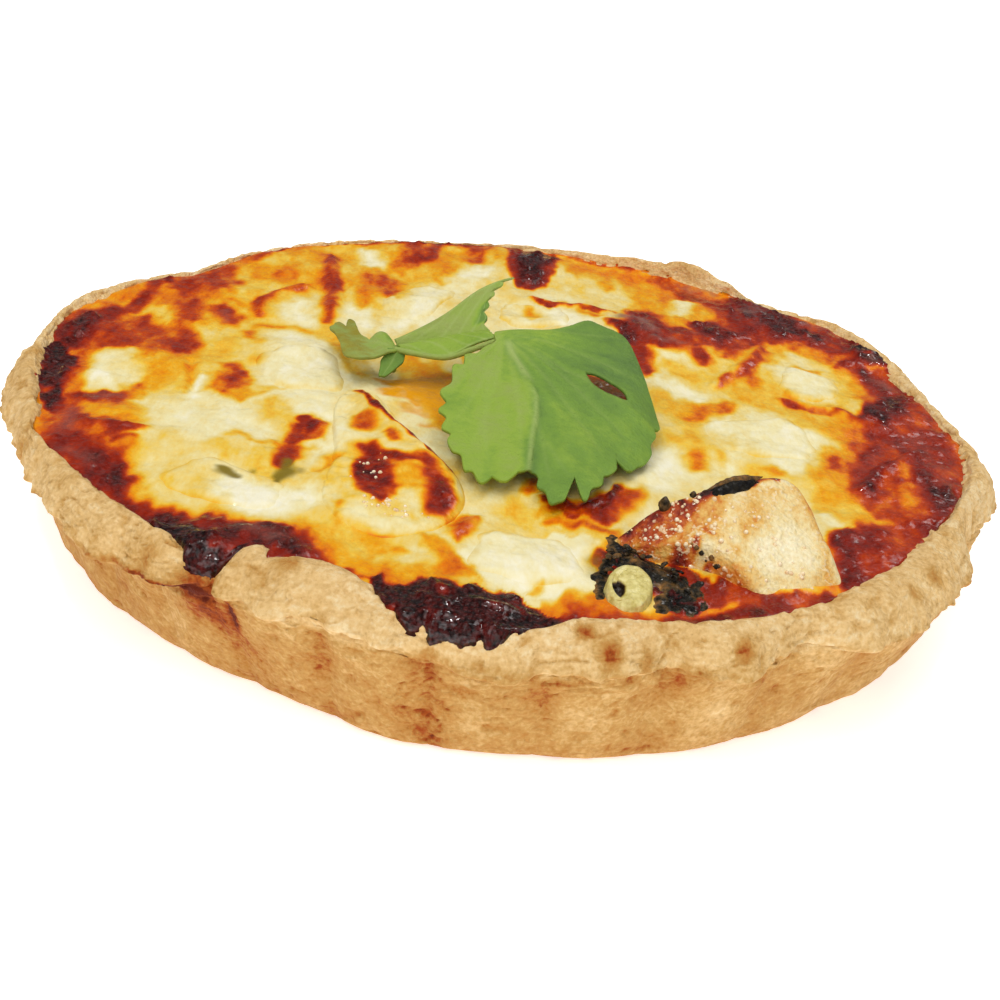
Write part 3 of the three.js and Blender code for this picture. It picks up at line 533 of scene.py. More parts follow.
LEFT = [
    (0.3, 5, (-40, 3, 4), (-38, -8, 4)), (0.62, 3, (-54, 3, 3), (-46, 2, 5), (-44, -2, 2.5)),
    (0.68, 2, (-51.5, 4, 1.2), (-50.5, -2, 1.5)), (0.74, 3, (-52, 10.5, 1.5), (-55, 5, 2.4), (-55, -1, 2)),
    (0.84, 1.6, (-54.6, 6, 0.8), (-55, 0, 1.2)), (0.6, 2, (-51, 0, 1), (-51, -14, 1.2)),
    (0.95, 0.8, (-55.2, -4, 1.2), (-54.6, -7.5, 2.1), (-53.4, -10.5, 1.6), (-53.2, -15, 1), (-51.4, -19, 1),
     (-50.3, -22, 0.6)), (0.66, 1, (-54.4, -15.5, 0.7), (-53.5, -16, 0.5)),
    (0.38, 4, (-43, -5, 2), (-42, -10, 2)), (0.12, 3, (-48, -6, 2), (-46.5, -12, 2.6)),
    # Painted highlight: the white stroke at level 0 that opens the next line
    (0, 2, (-48.2, -12, 1), (-47.5, -13, 1)), (0.52, 2, (-43.2, -13, 0.8), (-43.6, -17, 1.2)),
    (0.5, 3, (-47, -20.5, 2), (-42.5, -22, 2)), (0.74, 2, (-49, -17, 1), (-46, -17, 1.4), (-45, -19, 0.8)),
    (0.7, 2.5, (-49.3, -18, 0.8), (-49, -24, 1.6), (-47, -31, 2.2), (-43, -34.5, 2.6)),
    (0.56, 3, (-44, -27, 2), (-43, -31, 2)),
    (0.72, 1.5, (-46, -25.5, 1), (-42, -25.2, 1.1), (-39.8, -25, 0.6)),
    (0.68, 1.5, (-45.5, -29.5, 0.8), (-42.5, -27.8, 0.8), (-40.5, -28, 0.5)),
    (0.5, 3, (-41, -30, 1), (-39.5, -33, 1)),
    (0.76, 2.6, (-46, -31, 2), (-43, -34.2, 2.4), (-40.3, -38, 2.2), (-36, -42, 2.2), (-31, -45, 2.2),
     (-26, -46.8, 2), (-20, -46.5, 2.2), (-16, -48.4, 0.8)),
    (0.86, 1.8, (-43.5, -32.5, 1), (-41, -36, 1.6), (-39, -39, 1.2), (-36, -41.5, 0.6)),
    (0.82, 2, (-31, -46, 2.4), (-26.5, -47.6, 2.4), (-22, -48, 1.5), (-18, -49, 0.9)),
    (0.96, 1, (-33, -44.2, 1), (-32.4, -47.6, 1.1)),
    (1, 1, (-31, -47.5, 1.3), (-29.4, -50.4, 1.5), (-28.4, -53, 1.7), (-27.4, -56, 1.6)),
    (0.86, 1.6, (-26, -46.6, 1.2), (-22, -45.8, 1.9), (-18.6, -47, 1)),
    (0.72, 1, (-20, -49, 0.7), (-15, -49.8, 0.7), (-11, -50.8, 0.5), (-8, -51.2, 0.6)),
    (0.1, 6, (-33, -20, 5), (-25, -12, 5)), (0.08, 4, (-28, 0, 2.5), (-24, -6, 3), (-22.5, -13, 2)),
    (0.3, 3, (-35, 3, 2.5), (-33, 1, 2)), (0.28, 3, (-27.5, -14, 1.5), (-26.5, -17.5, 1.8)),
    (0.3, 2, (-24.8, -19, 1), (-24.6, -22, 0.8)),
    (0.58, 2.6, (-34.2, -2.8, 0.9), (-33.4, -6.5, 1.5), (-32.2, -9.4, 1.4)),
    (0.46, 2, (-35.4, -7.5, 0.8), (-35, -11, 0.9), (-32, -12.4, 0.7), (-30.2, -10, 0.9)),
    (0.64, 1.4, (-33.4, -4.5, 0.6), (-33, -7.2, 0.7)), (0.32, 1.6, (-30, -9, 1), (-27.4, -9, 0.3)),
    (0.44, 0.9, (-39.4, -3.4, 0.5), (-38.4, -7, 0.4), (-37, -12.5, 0.35)),
    # Painted highlight: a pale line beside the fold that runs from (-39, -3) to (-37, -12)
    (0.02, 1.5, (-36.6, -8, 0.5), (-36.2, -14, 0.5)),
    (0.66, 1.2, (-23, -17.8, 0.9), (-21.3, -19, 1), (-21.2, -22, 0.9), (-23.4, -22.8, 0.9),
     (-23.3, -19.5, 0.7)), (0.85, 0.8, (-21.7, -18.6, 0.5), (-21.4, -20.4, 0.4)),
    (0.4, 1, (-30, -25, 0.4), (-27.5, -23.9, 0.4), (-24.5, -23.9, 0.4), (-21, -25.6, 0.4)),
    (0.62, 1.8, (-23.8, -25, 1), (-22.8, -28, 0.9)), (0.36, 2, (-31, -27, 0.9), (-30.8, -30, 0.6)),
    (0.22, 4, (-35, -31, 3), (-33, -37, 3)),
    (0.03, 4, (-27.5, -36.5, 2), (-24, -38, 3), (-20.5, -36, 1.5)),
    (0.42, 1, (-20, -30, 0.5), (-18, -26, 0.4)), (0.42, 1, (-16.2, -36.5, 0.5), (-15.6, -43, 0.4)),
    (0.36, 3, (-13, -43, 1.5), (-9, -47, 2)), (0.47, 1.6, (-9.6, -44, 0.5), (-8.2, -44.4, 0.5)),
    (0.48, 1.6, (-7.4, -40.8, 0.6), (-5, -44, 0.9), (-3.8, -48.4, 1.2)),
    (0.46, 1.6, (-12, -50, 0.6), (-1, -51.6, 0.6), (7, -52.2, 0.8), (11, -49.8, 1)),
    (0.26, 1.6, (-10.6, -47, 0.9), (-6.4, -46.6, 0.8)), (0.24, 1.4, (-2.6, -50.2, 0.8), (0.6, -51.4, 0.7)),
    (0.6, 1.4, (-1.9, -35.6, 0.5), (-3, -37.8, 0.9), (-4.2, -40.4, 0.5)),
]
FRONT = [
    (0.22, 4, (0, -28, 1.5), (3, -33, 2)), (0.34, 2.5, (1.6, -31, 1), (1.6, -33.4, 0.8)),
    (0.05, 1.4, (-0.4, -43.2, 2.2), (8, -42.4, 3.4), (4, -46.5, 3)),
    (0.06, 1.2, (6, -40.4, 1.6), (8.4, -40.6, 1.4), (8.6, -47, 1.2)),
    (0.05, 1.2, (-1.2, -46, 1.2), (1.2, -49.8, 1.1), (4.4, -50.8, 0.8)),
    (0.07, 1, (-2.4, -43, 1), (0.6, -41.2, 1.3), (5, -39.9, 1.3), (8.6, -38.6, 0.8)),
    (0.34, 1, (3.9, -49.8, 0.35), (4.8, -48.2, 0.5)),
    (0.44, 1.4, (12.2, -37.4, 1), (12.5, -44, 1.1), (12, -50.4, 1.3)),
    (0.95, 1.2, (12.6, -39.4, 1.2), (15, -42, 1.6), (18, -44.6, 1.7), (19.4, -48.4, 1.3)),
    (0.7, 1.4, (11.8, -40.6, 0.8), (11.4, -43.4, 0.6)), (0.58, 1.6, (3.6, -25, 0.5), (3.4, -28, 0.7)),
    (0.56, 2.4, (14, -26, 1.3), (12.6, -29.5, 1.6)),
    (0.7, 2, (6.5, -31.4, 1.5), (10.5, -30.8, 1.9), (11.8, -28.4, 1.5)),
    (0.5, 1.8, (6, -34.4, 0.7), (11, -35.2, 0.8)),
    (0.86, 0.8, (5, -29.6, 0.6), (8, -30.6, 0.5), (10.6, -29.4, 0.5), (12.4, -25.4, 0.4)),
    (0.52, 2, (9.5, -51.5, 1), (15, -51.2, 1.2), (20, -49.6, 1)),
    (1, 1, (-8.8, -52.4, 0.9), (-5.6, -54, 2.4), (-3.4, -56.6, 3.2), (0.4, -56, 4), (4.2, -54.8, 2.2),
     (8.2, -53.8, 0.7)), (0.98, 1, (-10.6, -51.4, 0.7), (-9.2, -54.4, 0.9)),
    (0.84, 1, (-5, -52.4, 0.4), (-4.4, -54, 0.4)), (0.86, 1, (0.5, -53.2, 0.3), (4.5, -54.2, 0.3)),
    (0.74, 1.6, (19.6, -42.6, 1.2), (21.6, -45, 1.4), (26, -45.6, 1.4), (31, -46, 1.2)),
    (0.86, 1.4, (18.4, -41.6, 1.1), (20, -43.4, 1.3), (20.8, -45.4, 1)),
    (0.7, 2, (8.6, -53.4, 0.9), (14, -53, 1), (20, -51.2, 1.4), (27, -48.6, 1.8), (33, -46.2, 1.6),
     (37, -43, 1.4)), (0.72, 1.4, (19.5, -42.6, 1.2), (24, -45.4, 1.6), (30, -45.8, 1.4), (34.5, -44, 1)),
    (0.48, 1, (20.6, -48.4, 0.5), (24.4, -46.9, 0.5)), (0.84, 1.5, (22, -49.6, 0.7), (26.5, -47.8, 1)),
    (0.8, 2, (38, -31, 1.8), (37.5, -36, 1.8), (38.4, -41, 1.6)),
    (0.88, 1.4, (37, -39.6, 0.8), (38.4, -42.6, 0.7)), (0.74, 2.4, (41.5, -30, 2.2), (41, -35.5, 2)),
    (0.62, 1.6, (42.4, -30.4, 0.8), (41.6, -33.6, 0.7)),
]
RIGHT = [
    (0.06, 5, (18.5, -14, 2), (17.5, -21, 2.5)), (0.3, 3, (18.6, 0, 1), (18.4, -5, 1)),
    (0.09, 3, (26, -6, 3), (35, -6, 3.5), (33, -11, 2.5)), (0.24, 3, (21, -7, 1.4), (27, -9.5, 1.4)),
    (0.36, 2.4, (21.6, -4, 1), (21, -9, 0.8)),
    (0.56, 2.6, (26.4, 4, 1.2), (23.6, 1.6, 1.5), (22.2, -1.6, 1.2)),
    (0.57, 2.4, (21.6, -13.4, 0.8), (22, -16.6, 0.9)), (0.32, 2, (24.5, -12, 0.8), (25.4, -14, 0.7)),
    (0.46, 1.8, (30.4, -14.6, 0.8), (31.8, -14.8, 0.6)),
    (0.42, 3, (39.6, -7.5, 0.8), (38, -13, 1.5), (37, -18.5, 1.2), (37.4, -23.5, 1.2)),
    (0.6, 1.4, (39, -10.6, 0.6), (38.2, -13.2, 0.6)),
    (0.69, 3, (47, 2, 2), (45.5, -6, 2.4), (43.5, -12, 2.4), (43.2, -18, 3), (44.4, -24, 2.8)),
    (0.72, 3, (51, 3, 3), (50, -8, 3.4), (49.4, -17, 3), (46.8, -25, 2.2)),
    (0.55, 2.4, (43, 1.6, 0.8), (42.4, -3.4, 1)),
    (0.8, 1.6, (40.6, -17.6, 0.7), (42.8, -13, 0.9), (45.4, -10.6, 0.6)),
    (0.54, 1.8, (46.8, -15.4, 0.9), (46, -18.4, 0.8)), (0.54, 1.5, (47.6, -10.4, 0.6), (46.8, -12.4, 0.6)),
    (0.36, 2, (38, -22.6, 0.9), (41.4, -24.6, 0.9)), (0.1, 1.6, (36.4, -25.8, 0.5), (36.8, -28, 0.8)),
    (0.62, 2, (44.4, -20, 1.4), (46.4, -22.6, 1.2)), (0.86, 1.2, (50.4, -15.4, 0.6), (50.8, -19.4, 0.8)),
]
BACK_LEFT = [
    (0.3, 4, (-38.5, 31, 2), (-36.6, 24, 2)), (0.52, 4, (-45, 24, 3), (-44, 10, 2.4)),
    (0.26, 3, (-47, 13, 1), (-46.4, 9, 1.2)),
    (0.68, 3, (-45.5, 32, 1.6), (-43.2, 25, 2), (-46.4, 20, 1.2)), (0.6, 2, (-43, 22, 0.8), (-43, 10, 1)),
    (0.46, 2, (-47.2, 19, 0.8), (-47, 15, 0.7)), (0.62, 2, (-48.4, 9, 1.2), (-47.4, 3, 1.4)),
    (0.7, 1.2, (-49.8, 24, 0.8), (-50, 12, 0.7)), (0.84, 1.2, (-48.6, 24.6, 0.7), (-48.4, 23, 0.6)),
    (0.6, 1.6, (-48, 27, 0.8), (-44, 31.5, 0.9), (-41.5, 36, 1), (-38.4, 39.4, 1)),
    (0.52, 2, (-42, 34, 1), (-41, 28, 0.8)), (0.5, 2, (-36, 44, 1), (-32, 47.6, 1)),
    (0.46, 2, (-34.2, 36, 0.9), (-33.6, 29, 1)), (0.44, 2, (-38.4, 35, 0.9), (-37.6, 31, 0.8)),
    (0.5, 1.6, (-40, 27, 0.6), (-39.2, 22, 0.7)), (0.3, 2, (-38.6, 24, 1), (-36.4, 20, 1)),
    (0.68, 2, (-40.6, 15.6, 0.8), (-38.4, 13.4, 1.6), (-38, 11, 0.9)),
    (0.5, 1.6, (-39, 18, 0.6), (-37.4, 17, 0.6)),
    (0.6, 1.2, (-34.6, 16.4, 0.9), (-35, 20.6, 0.7), (-33.4, 24.4, 0.6), (-30.6, 28, 0.8)),
    (0.06, 3, (-30.4, 20.6, 1), (-29.6, 16.8, 1.2)), (0.44, 1.8, (-33.6, 12, 0.7), (-28, 12.6, 0.9)),
    (0.52, 1.8, (-34.6, 9, 0.7), (-33.6, 5.6, 0.7)), (0.16, 4, (-40, 6.5, 1.5), (-37, 4.5, 1.5)),
    (0.07, 4, (-29.5, 8.6, 2), (-25.5, 6, 2)),
    (0.36, 2.4, (-25.4, 18, 1.2), (-24, 11, 1.1), (-21.8, 5.6, 0.9), (-19.6, 1, 0.8)),
    (0.64, 2, (-29.2, 43, 0.9), (-28.4, 36, 1), (-27.2, 30, 1.2), (-26.2, 24.6, 0.9), (-25.2, 17, 0.6)),
    (0.44, 1.6, (-30.8, 38, 0.5), (-30, 33, 0.6)), (0.06, 3, (-22.4, 22, 1.2), (-21.4, 17, 1.2)),
    (0.5, 3, (-22.2, 36, 1.2), (-21.4, 24, 1)), (0.56, 2.4, (-19.2, 37, 1.2), (-18.4, 28, 1.3)),
    (0.4, 2, (-24, 39, 1), (-16, 38.6, 0.8)), (0.06, 3, (-24, 47, 0.9), (-22.2, 41.4, 1.4)),
    (0.32, 2.4, (-28.6, 48, 0.9), (-27, 45.4, 1)),
    (0.6, 2.4, (-16.4, 53, 1.4), (-16.6, 46, 2.4), (-18, 41.4, 1.4)),
    (0.7, 1.6, (-14.6, 53, 0.9), (-15.4, 46, 1.1), (-18.4, 43.6, 0.6)),
    (0.46, 2.4, (-11.6, 51, 1.2), (-11.4, 40, 1)), (0.6, 2.4, (-7.4, 54, 1.4), (-8.4, 48, 1.2)),
    (0.44, 2, (-24.4, 52, 0.8), (-22, 49.6, 0.8)), (0.07, 4, (-6.6, 44, 1.4), (-8.6, 39.6, 1.4)),
    (0.06, 4, (-14, 31, 1.6), (-13.4, 20, 2.2), (-16, 17, 1.4)),
    (0.42, 1.6, (-12.8, 36.8, 0.6), (-11.8, 35.8, 0.5)),
    (0.62, 1.4, (-38, 41, 0.6), (-34.6, 46.6, 0.7), (-28.6, 49.8, 0.6), (-20, 52.2, 0.7), (-12, 55, 0.8),
     (-4, 57, 0.8)), (0.43, 2, (-13.6, 7, 1.8), (-10.6, 2, 2.6), (-11.4, -2, 2)),
    (0.36, 2, (-9.6, -3, 2), (-9.2, -8, 1.4)), (0.2, 1.4, (-9.4, -10.4, 0.8), (-7.6, -11, 0.8)),
    # This stroke darkens the custard where it shows through the slit in the coriander blade
    (0.76, 1.6, (9.4, 6.4, 1.4), (11.6, 3.6, 1.8), (13.6, 0.4, 1.4)),
    (0.38, 1.4, (-9.6, -9, 0.6), (-8.4, -13, 0.6), (-6.4, -12.4, 0.5)),
    (0.48, 1.6, (-7.8, 12.4, 0.8), (-7, 9.6, 0.8)),
]
BACK_RIGHT = [
    (0.75, 4, (18, 27, 2), (26, 27, 3.4), (35, 34, 3), (43, 30.6, 2), (47.6, 27.6, 1.6)),
    (0.72, 4, (50, 20, 2), (51, 6, 3), (50, -12, 3.4), (46, -24, 2.4), (40.6, -34, 2)),
    (0.22, 5, (6, 47, 3), (12, 39, 3.6)), (0.44, 3, (10, 52, 2), (17, 50, 2), (20, 44, 2), (17, 38, 1)),
    (0.44, 2, (12.4, 50, 0.9), (12, 43, 0.8)), (0.42, 2, (7.6, 51, 0.9), (7.6, 47, 0.8)),
    (0.6, 2.4, (19.4, 52, 1.6), (21.4, 50.4, 1.4), (24, 47, 1.4), (27.6, 43, 1.6)),
    (0.64, 1.6, (3.4, 58, 0.8), (9.4, 56.4, 1.2), (15.4, 55.4, 0.9)),
    (0.06, 3, (23.6, 41, 1.2), (22.4, 35.6, 1.2)), (0.36, 2, (21, 32, 0.9), (23.6, 29.6, 0.7)),
    (0.05, 3, (1, 30, 1.6), (6, 28, 2.6)), (0.46, 1.8, (0.8, 29, 0.9), (1.3, 26.4, 0.9)),
    (0.66, 1.2, (1, 34.4, 0.3), (4, 32.8, 0.5), (8, 33.2, 0.7), (12, 31.4, 0.7)),
    (0.44, 1.4, (8, 31.6, 0.5), (10.4, 29.6, 0.6)),
    (0.76, 1.6, (-1.4, 56, 1.8), (0.6, 49, 3.2), (-0.2, 43, 2.2)),
    (0.95, 2, (1.8, 54.4, 1.8), (0.4, 48, 1.8), (-0.2, 42.4, 1.2)),
    (0.7, 3, (17, 32, 2.2), (17, 24, 2.6), (22, 23, 2), (29, 28, 4)),
    (0.86, 2, (12.6, 27, 0.8), (14.8, 24, 1.2), (15.6, 21, 0.8)),
    (0.74, 2, (16, 19, 1.2), (17, 12.6, 0.9)), (0.83, 2, (25, 31, 1), (27.4, 28.6, 2), (28.2, 24.6, 1.6)),
    (0.74, 2, (23.8, 20, 0.9), (24.8, 16, 0.7)), (0.66, 3, (29, 44, 1.4), (29.6, 35, 1.6)),
    (0.62, 3, (30.6, 26, 1.4), (28, 20, 1.4)),
    (0.87, 3, (33, 45, 2), (34.6, 39, 3), (38, 35.6, 3.2), (42, 31.4, 2)),
    (0.9, 2, (36.4, 41, 1.2), (35.8, 35, 1.4)), (0.76, 2, (40.6, 35.6, 1.6), (45, 31.6, 1.6)),
    (0.68, 2, (39, 30.6, 1.2), (44, 28, 1.2)),
    (0.97, 1.2, (47.6, 29.6, 0.9), (50.4, 29.4, 1.6), (50.6, 25.6, 1.3), (47.6, 25.4, 0.7)),
    (0.72, 2, (46.4, 24, 0.9), (44.4, 22.4, 0.6)), (0.52, 2, (38, 27.4, 0.9), (42.6, 25.6, 1)),
    (0.36, 2, (35.4, 26.6, 0.8), (34, 21, 0.8)), (0.3, 3, (27.6, 17, 1.2), (26.4, 9, 1.2)),
    (0.6, 1.6, (34, 24.6, 0.5), (32, 18.4, 0.7), (29.6, 14, 0.8), (26.8, 10, 0.6)),
    (0.44, 2, (31.6, 13.4, 0.8), (29.4, 9.6, 0.8)), (0.08, 3, (37, 18.6, 1.8), (39.6, 12.4, 2.4)),
    (0.44, 1.2, (37.6, 21, 0.4), (40.6, 19.8, 0.4)), (0.32, 2.4, (42.6, 13.4, 1), (43, 9, 1)),
    (0.34, 3, (29, 8, 1.6), (33, 4.6, 2)), (0.05, 3, (20, 8.6, 1.4), (23, 7, 1.4)),
    (0.32, 2, (19.6, 15.4, 1.2), (22, 13, 1)),
    (0.6, 1.2, (34.6, 7.6, 0.7), (38, 6.2, 0.7), (41, 5.8, 0.7), (43.6, 3, 0.7), (47, 0.8, 0.8)),
    (0.72, 2.4, (50, 21, 1.8), (51, 10, 2.2), (53, 3, 1.8)), (0.78, 2, (47.6, 21, 1.2), (49.4, 15.6, 1.6)),
    (0.9, 2, (49.6, 13.6, 1), (47.8, 8.6, 1.8), (45.6, 4, 1.6)),
    (0.54, 1.8, (51.4, 6.4, 0.9), (50.2, 3.4, 0.9)),
]
# Painted sheen: a dull mauve reflection laid over the darkest skin. Bits of herb baked into the top, and
# clear amber juice that ran out of the chicken and stands under the coriander, in the same form
SHEEN_STROKES = [
    (0.8, 2, (13, 29.6, 1.2), (16, 30, 1.2), (18, 27, 1)), (0.7, 1.6, (18.6, 24, 0.8), (21.4, 23, 0.6)),
    (0.7, 1.8, (32.4, 40, 1), (33.6, 42, 0.8)), (0.7, 1.5, (34, 44.6, 0.8), (37, 43.4, 0.6)),
    (0.5, 2, (40.4, 38, 1), (43, 36, 0.8)), (0.5, 2, (24, 50, 0.8), (28, 47.4, 0.8)),
    (0.6, 2, (5, 58, 0.7), (13, 57, 0.8)), (0.15, 2.4, (46.4, -3, 1.2), (50.6, 0, 1.4), (50, -6, 1.2)),
    (0.12, 2.4, (44.4, -6.4, 0.9), (42, -11, 0.7)), (0.12, 3, (51.4, -9, 1.2), (51, -20, 0.8)),
    (0.5, 2, (48.4, 20, 0.8), (50, 18, 0.8)), (0.5, 1.6, (48.6, 25.6, 0.6), (49.4, 24.6, 0.5)),
    (0.3, 2.4, (-48.6, -21, 0.9), (-48, -27, 1)), (0.3, 2, (-46, -16.6, 0.9), (-45, -17.6, 0.7)),
    (0.25, 2, (-46.4, -32, 1), (-43.6, -33.4, 0.9)), (0.4, 2, (-24.6, -45.4, 0.7), (-21, -46.4, 0.9)),
    (0.4, 1.6, (-39.4, 14, 0.9), (-38.6, 12, 0.8)),
]
HERB_BITS = [
    (0.95, 0.9, (-29.4, -32.6, 0.8), (-28, -33.4, 0.6)), (0.8, 0.9, (-26.4, -31.6, 0.4)),
    (0.95, 0.9, (-23, -28.4, 0.5), (-22.6, -30.6, 0.8), (-23.2, -33.8, 0.6)),
    (0.6, 1, (-21.4, -30.4, 0.6)), (0.5, 1.4, (10.6, -41, 0.8), (10.4, -45, 0.8)),
    # This stroke holds no herb: it tints olive the custard that shows through the slit in the coriander
    # blade
    (0.45, 1.4, (9.4, 6.4, 1.4), (11.6, 3.6, 1.8), (13.6, 0.4, 1.4)),
]
JUICE = [
    (1, 1.2, (-15.8, -1.2, 1.2), (-12, -1.6, 3.2), (-7.6, -1.4, 3.4)),
    (0.95, 1.2, (-14.6, -5, 1.7), (-8, -6.6, 2.8)), (0.7, 1, (-11.6, -9.9, 1.2), (-7.6, -10.6, 1.8)),
    (0.8, 0.8, (-9.8, -13.6, 0.4), (-7, -14.4, 0.5)),
]


def browning(x, y):
    """Browning of the top over a plan position. The strokes are laid over blotchy pale cheese, and
    the place is first shifted a little by noise, so that their edges run in tongues."""
    w = 0.5 * y
    u = x + noises(x, w, 0, (0.7, 3, 1), (0.4, 1.3, 2), (0.2, 0.6, 11))
    v = y + noises(x, w, 0, (1.3, 3, 3), (0.8, 1.3, 4), (0.4, 0.6, 12))
    start = 0.18 + noises(x, w, 0, (0.08, 5, 5), (0.06, 2, 6)) + 0.25 * ease((np.hypot(x, y) - 45) / 11)
    strokes = BASE + BACK_LEFT + BACK_RIGHT + LEFT + FRONT + RIGHT
    depth = painted(u, v, strokes, start, halo=0.37, swell=1.3)
    mottle = noises(x, w, 0, (0.45, 2.6, 7), (0.35, 1.2, 8), (0.2, 0.5, 9))
    depth = depth + mottle * (0.06 + 0.24 * np.clip(depth, 0.05, 0.7) - 0.12 * ease((depth - 0.8) / 0.15))
    # Painted sheen: a dull mauve reflection over the darkest skin, laid in strokes
    film = painted(u, v, SHEEN_STROKES) * (0.75 + 0.5 * noise(x, y, 0, 1.4, 10))
    return np.clip(depth, 0, 1), np.clip(film, 0, 1)


def herb_bits(x, y):
    """How much a place shows a bit of herb, 0 to 1."""
    return painted(x + 0.5 * noise(x, y, 0, 1.2, 13), y + 0.5 * noise(x, y, 0, 1.2, 14), HERB_BITS)


# Where the filling ran over the rim, as angle, width and reach: 1 is the middle of the crest, 2
# its outer side and 3 the lip's edge
SPILLS = [
    (241.9, 1.9, 3), (264.5, 4, 1.5), (270.5, 4.2, 1.3), (184, 7, 0.35), (30, 6, 0.7), (105, 22, 0.5),
]
# Ridges (+) and furrows (-) of the skin: height, softness and path with half widths
FOLDS = [
    (0.5, 1.4, (1, 34.4, 0.4), (4, 32.8, 0.5), (8, 33.2, 0.6), (12, 31.4, 0.6)),
    (0.5, 1.6, (33, 25.6, 0.5), (31, 19.4, 0.6), (28.4, 15, 0.6), (25.6, 10, 0.5)),
    (0.5, 1.6, (34.6, 8, 0.6), (38, 6.8, 0.6), (41, 6.4, 0.6), (43.6, 3.6, 0.6), (47, 1.4, 0.7)),
    (-0.4, 1, (-39.4, -3.4, 0.4), (-38.4, -7, 0.4), (-37, -12.5, 0.3)),
    (0.45, 1.4, (-34.6, 16.4, 0.7), (-35, 20.6, 0.6), (-33.4, 24.4, 0.6), (-30.6, 28, 0.7)),
    (0.5, 1.6, (-29, 42, 0.8), (-28, 36, 0.9), (-27, 30, 1), (-26, 24.6, 0.9), (-25.2, 19, 0.6)),
    (0.4, 1.6, (-46, -25.5, 0.8), (-42, -25.2, 0.9), (-39.8, -25, 0.5)),
    (0.5, 1.6, (41, -17.6, 0.6), (43, -13, 0.7), (46, -9.6, 0.6), (50, -4, 0.6)),
    (0.4, 1.4, (-1.9, -35.6, 0.4), (-3, -37.8, 0.7), (-4.2, -40.4, 0.4)),
    (-0.35, 1, (-20, -30, 0.4), (-18, -26, 0.3)),
]


def top_height(x, y, depth):
    """Height of the skin: the custard's own form, folds, soft lumps at three sizes, and blisters
    that stand closer and higher the deeper it is browned."""
    lumps = noises(x, y, 0, (0.26, 5.5, 30), (0.11, 2.3, 31), (0.05, 1, 34))
    blisters = (0.9 * np.maximum(0, noise(x, y, 0, 1.5, 32) + 0.1) ** 2
                + np.maximum(0, noise(x, y, 0, 0.9, 33)) ** 1.5)
    return (fill_top(x, y) + painted(x, y, FOLDS) + lumps
            + blisters * (0.06 + 0.4 * ease((depth - 0.6) / 0.3)))


def crust_top(angle, radius):
    """Height of the crust's top at each angle and radius, between its inner side and its lip."""
    rows = crust_section(angle)[[11, 10, 9, 8, 7]]
    height = np.full(radius.shape, -9.0)
    for (r0, z0), (r1, z1) in zip(*(np.moveaxis(part, -1, 1) for part in (rows[:-1], rows[1:]))):
        inside = (radius >= r0) & (radius <= r1)
        height = np.where(inside, mix(z0, z1, (radius - r0) / (r1 - r0)), height)
    return height


def disc_grid(n):
    """A square grid laid on the unit disc without bunching, by concentric squares turned into
    circles: the angle in degrees and the radius of each point, and the numbers of the edge's."""
    a, b = np.meshgrid(np.linspace(-1, 1, n), np.linspace(-1, 1, n))
    wide = np.abs(a) > np.abs(b)
    radius = np.where(wide, a, b)
    share = np.divide(np.where(wide, b, a), radius, out=np.zeros_like(a), where=radius != 0)
    angle = np.where(wide, 45 * share, 90 - 45 * share) + np.where(radius < 0, 180, 0)
    number = np.arange(n * n).reshape(n, n)
    edge = np.concatenate([number[0, :-1], number[:-1, -1], number[-1, :0:-1], number[:0:-1, 0]])
    return angle.ravel(), np.abs(radius).ravel(), edge


def disc_faces(n, edge, rings):
    """Faces of a body under such a grid: the grid, rings that hang below its edge, and a pole."""
    ring = len(edge)
    numbers = np.concatenate([edge, n * n + np.arange(rings * ring)]).reshape(rings + 1, ring)
    return [ring_faces(n, n, closed=False),
            numbers.ravel()[ring_faces(rings + 1, ring).ravel()].reshape(-1, 4)[:, ::-1],
            pole_faces(numbers[-1], n * n + rings * ring, False)]


GRID, CUSTARD_FLOOR = 301, CASE_FLOOR + 0.35
angle, share, edge = disc_grid(GRID)
ragged = 1 + noises(*polar(RIM_RADIUS, angle), 0, (0.30, 2.6, 35), (0.35, 1.4, 36), (0.45, 0.8, 29))
reach = np.minimum(2.8, 0.12 + bumps(angle, *SPILLS) * ragged)
over_crest = np.minimum(1, reach)
lip, outer, crest, inner = crust_section(angle)[7:11]
border = mix(mix(inner, crest, over_crest[:, None]), outer, np.clip(reach - 1, 0, 1)[:, None])
border = mix(border, lip, np.maximum(0, reach - 2)[:, None])[:, 0]
radius = share * border
x, y = polar(radius, angle)
depth, film = browning(x, y)
# What ran up the crust burnt: a brown line all round, black where it ran over
scorch = ((0.46 + 0.52 * over_crest + 0.1 * noise(x, y, 0, 1.2, 37))
          * ease((radius - inner[:, 0] + 0.6 + 1.2 * over_crest) / 1.2))
depth = np.clip(np.maximum(depth, scorch), 0, 1)
skin = top_height(x, y, depth)
relief = skin - fill_top(x, y)
back = border - radius
crust = crust_top(angle, radius)
over = crust + 0.3 * ease(back / 1.1) - 0.12 + relief * 0.8 * ease(back / 1.5)
# Where it ran over it thins out towards its edge
thin = (np.where(radius < inner[:, 0], inner[:, 1], crust) + 0.1 + 0.9 * back
        + 3 * ease((0.9 - reach) / 0.5) + relief)
z = higher(lower(skin, thin, 0.05), over, 0.05)
z = np.where(share > 0.9999, crust - 0.12, z)
# Below the skin the body narrows with the inside of the crust down to its floor
wall_r, wall_z = inner[edge].T
below = [points_at(*polar(wall_r - inset, angle[edge]), height) for inset, height in (
    (0.5, wall_z - 0.6), (3, 10), (4.6, 4.6), (7, CUSTARD_FLOOR))]
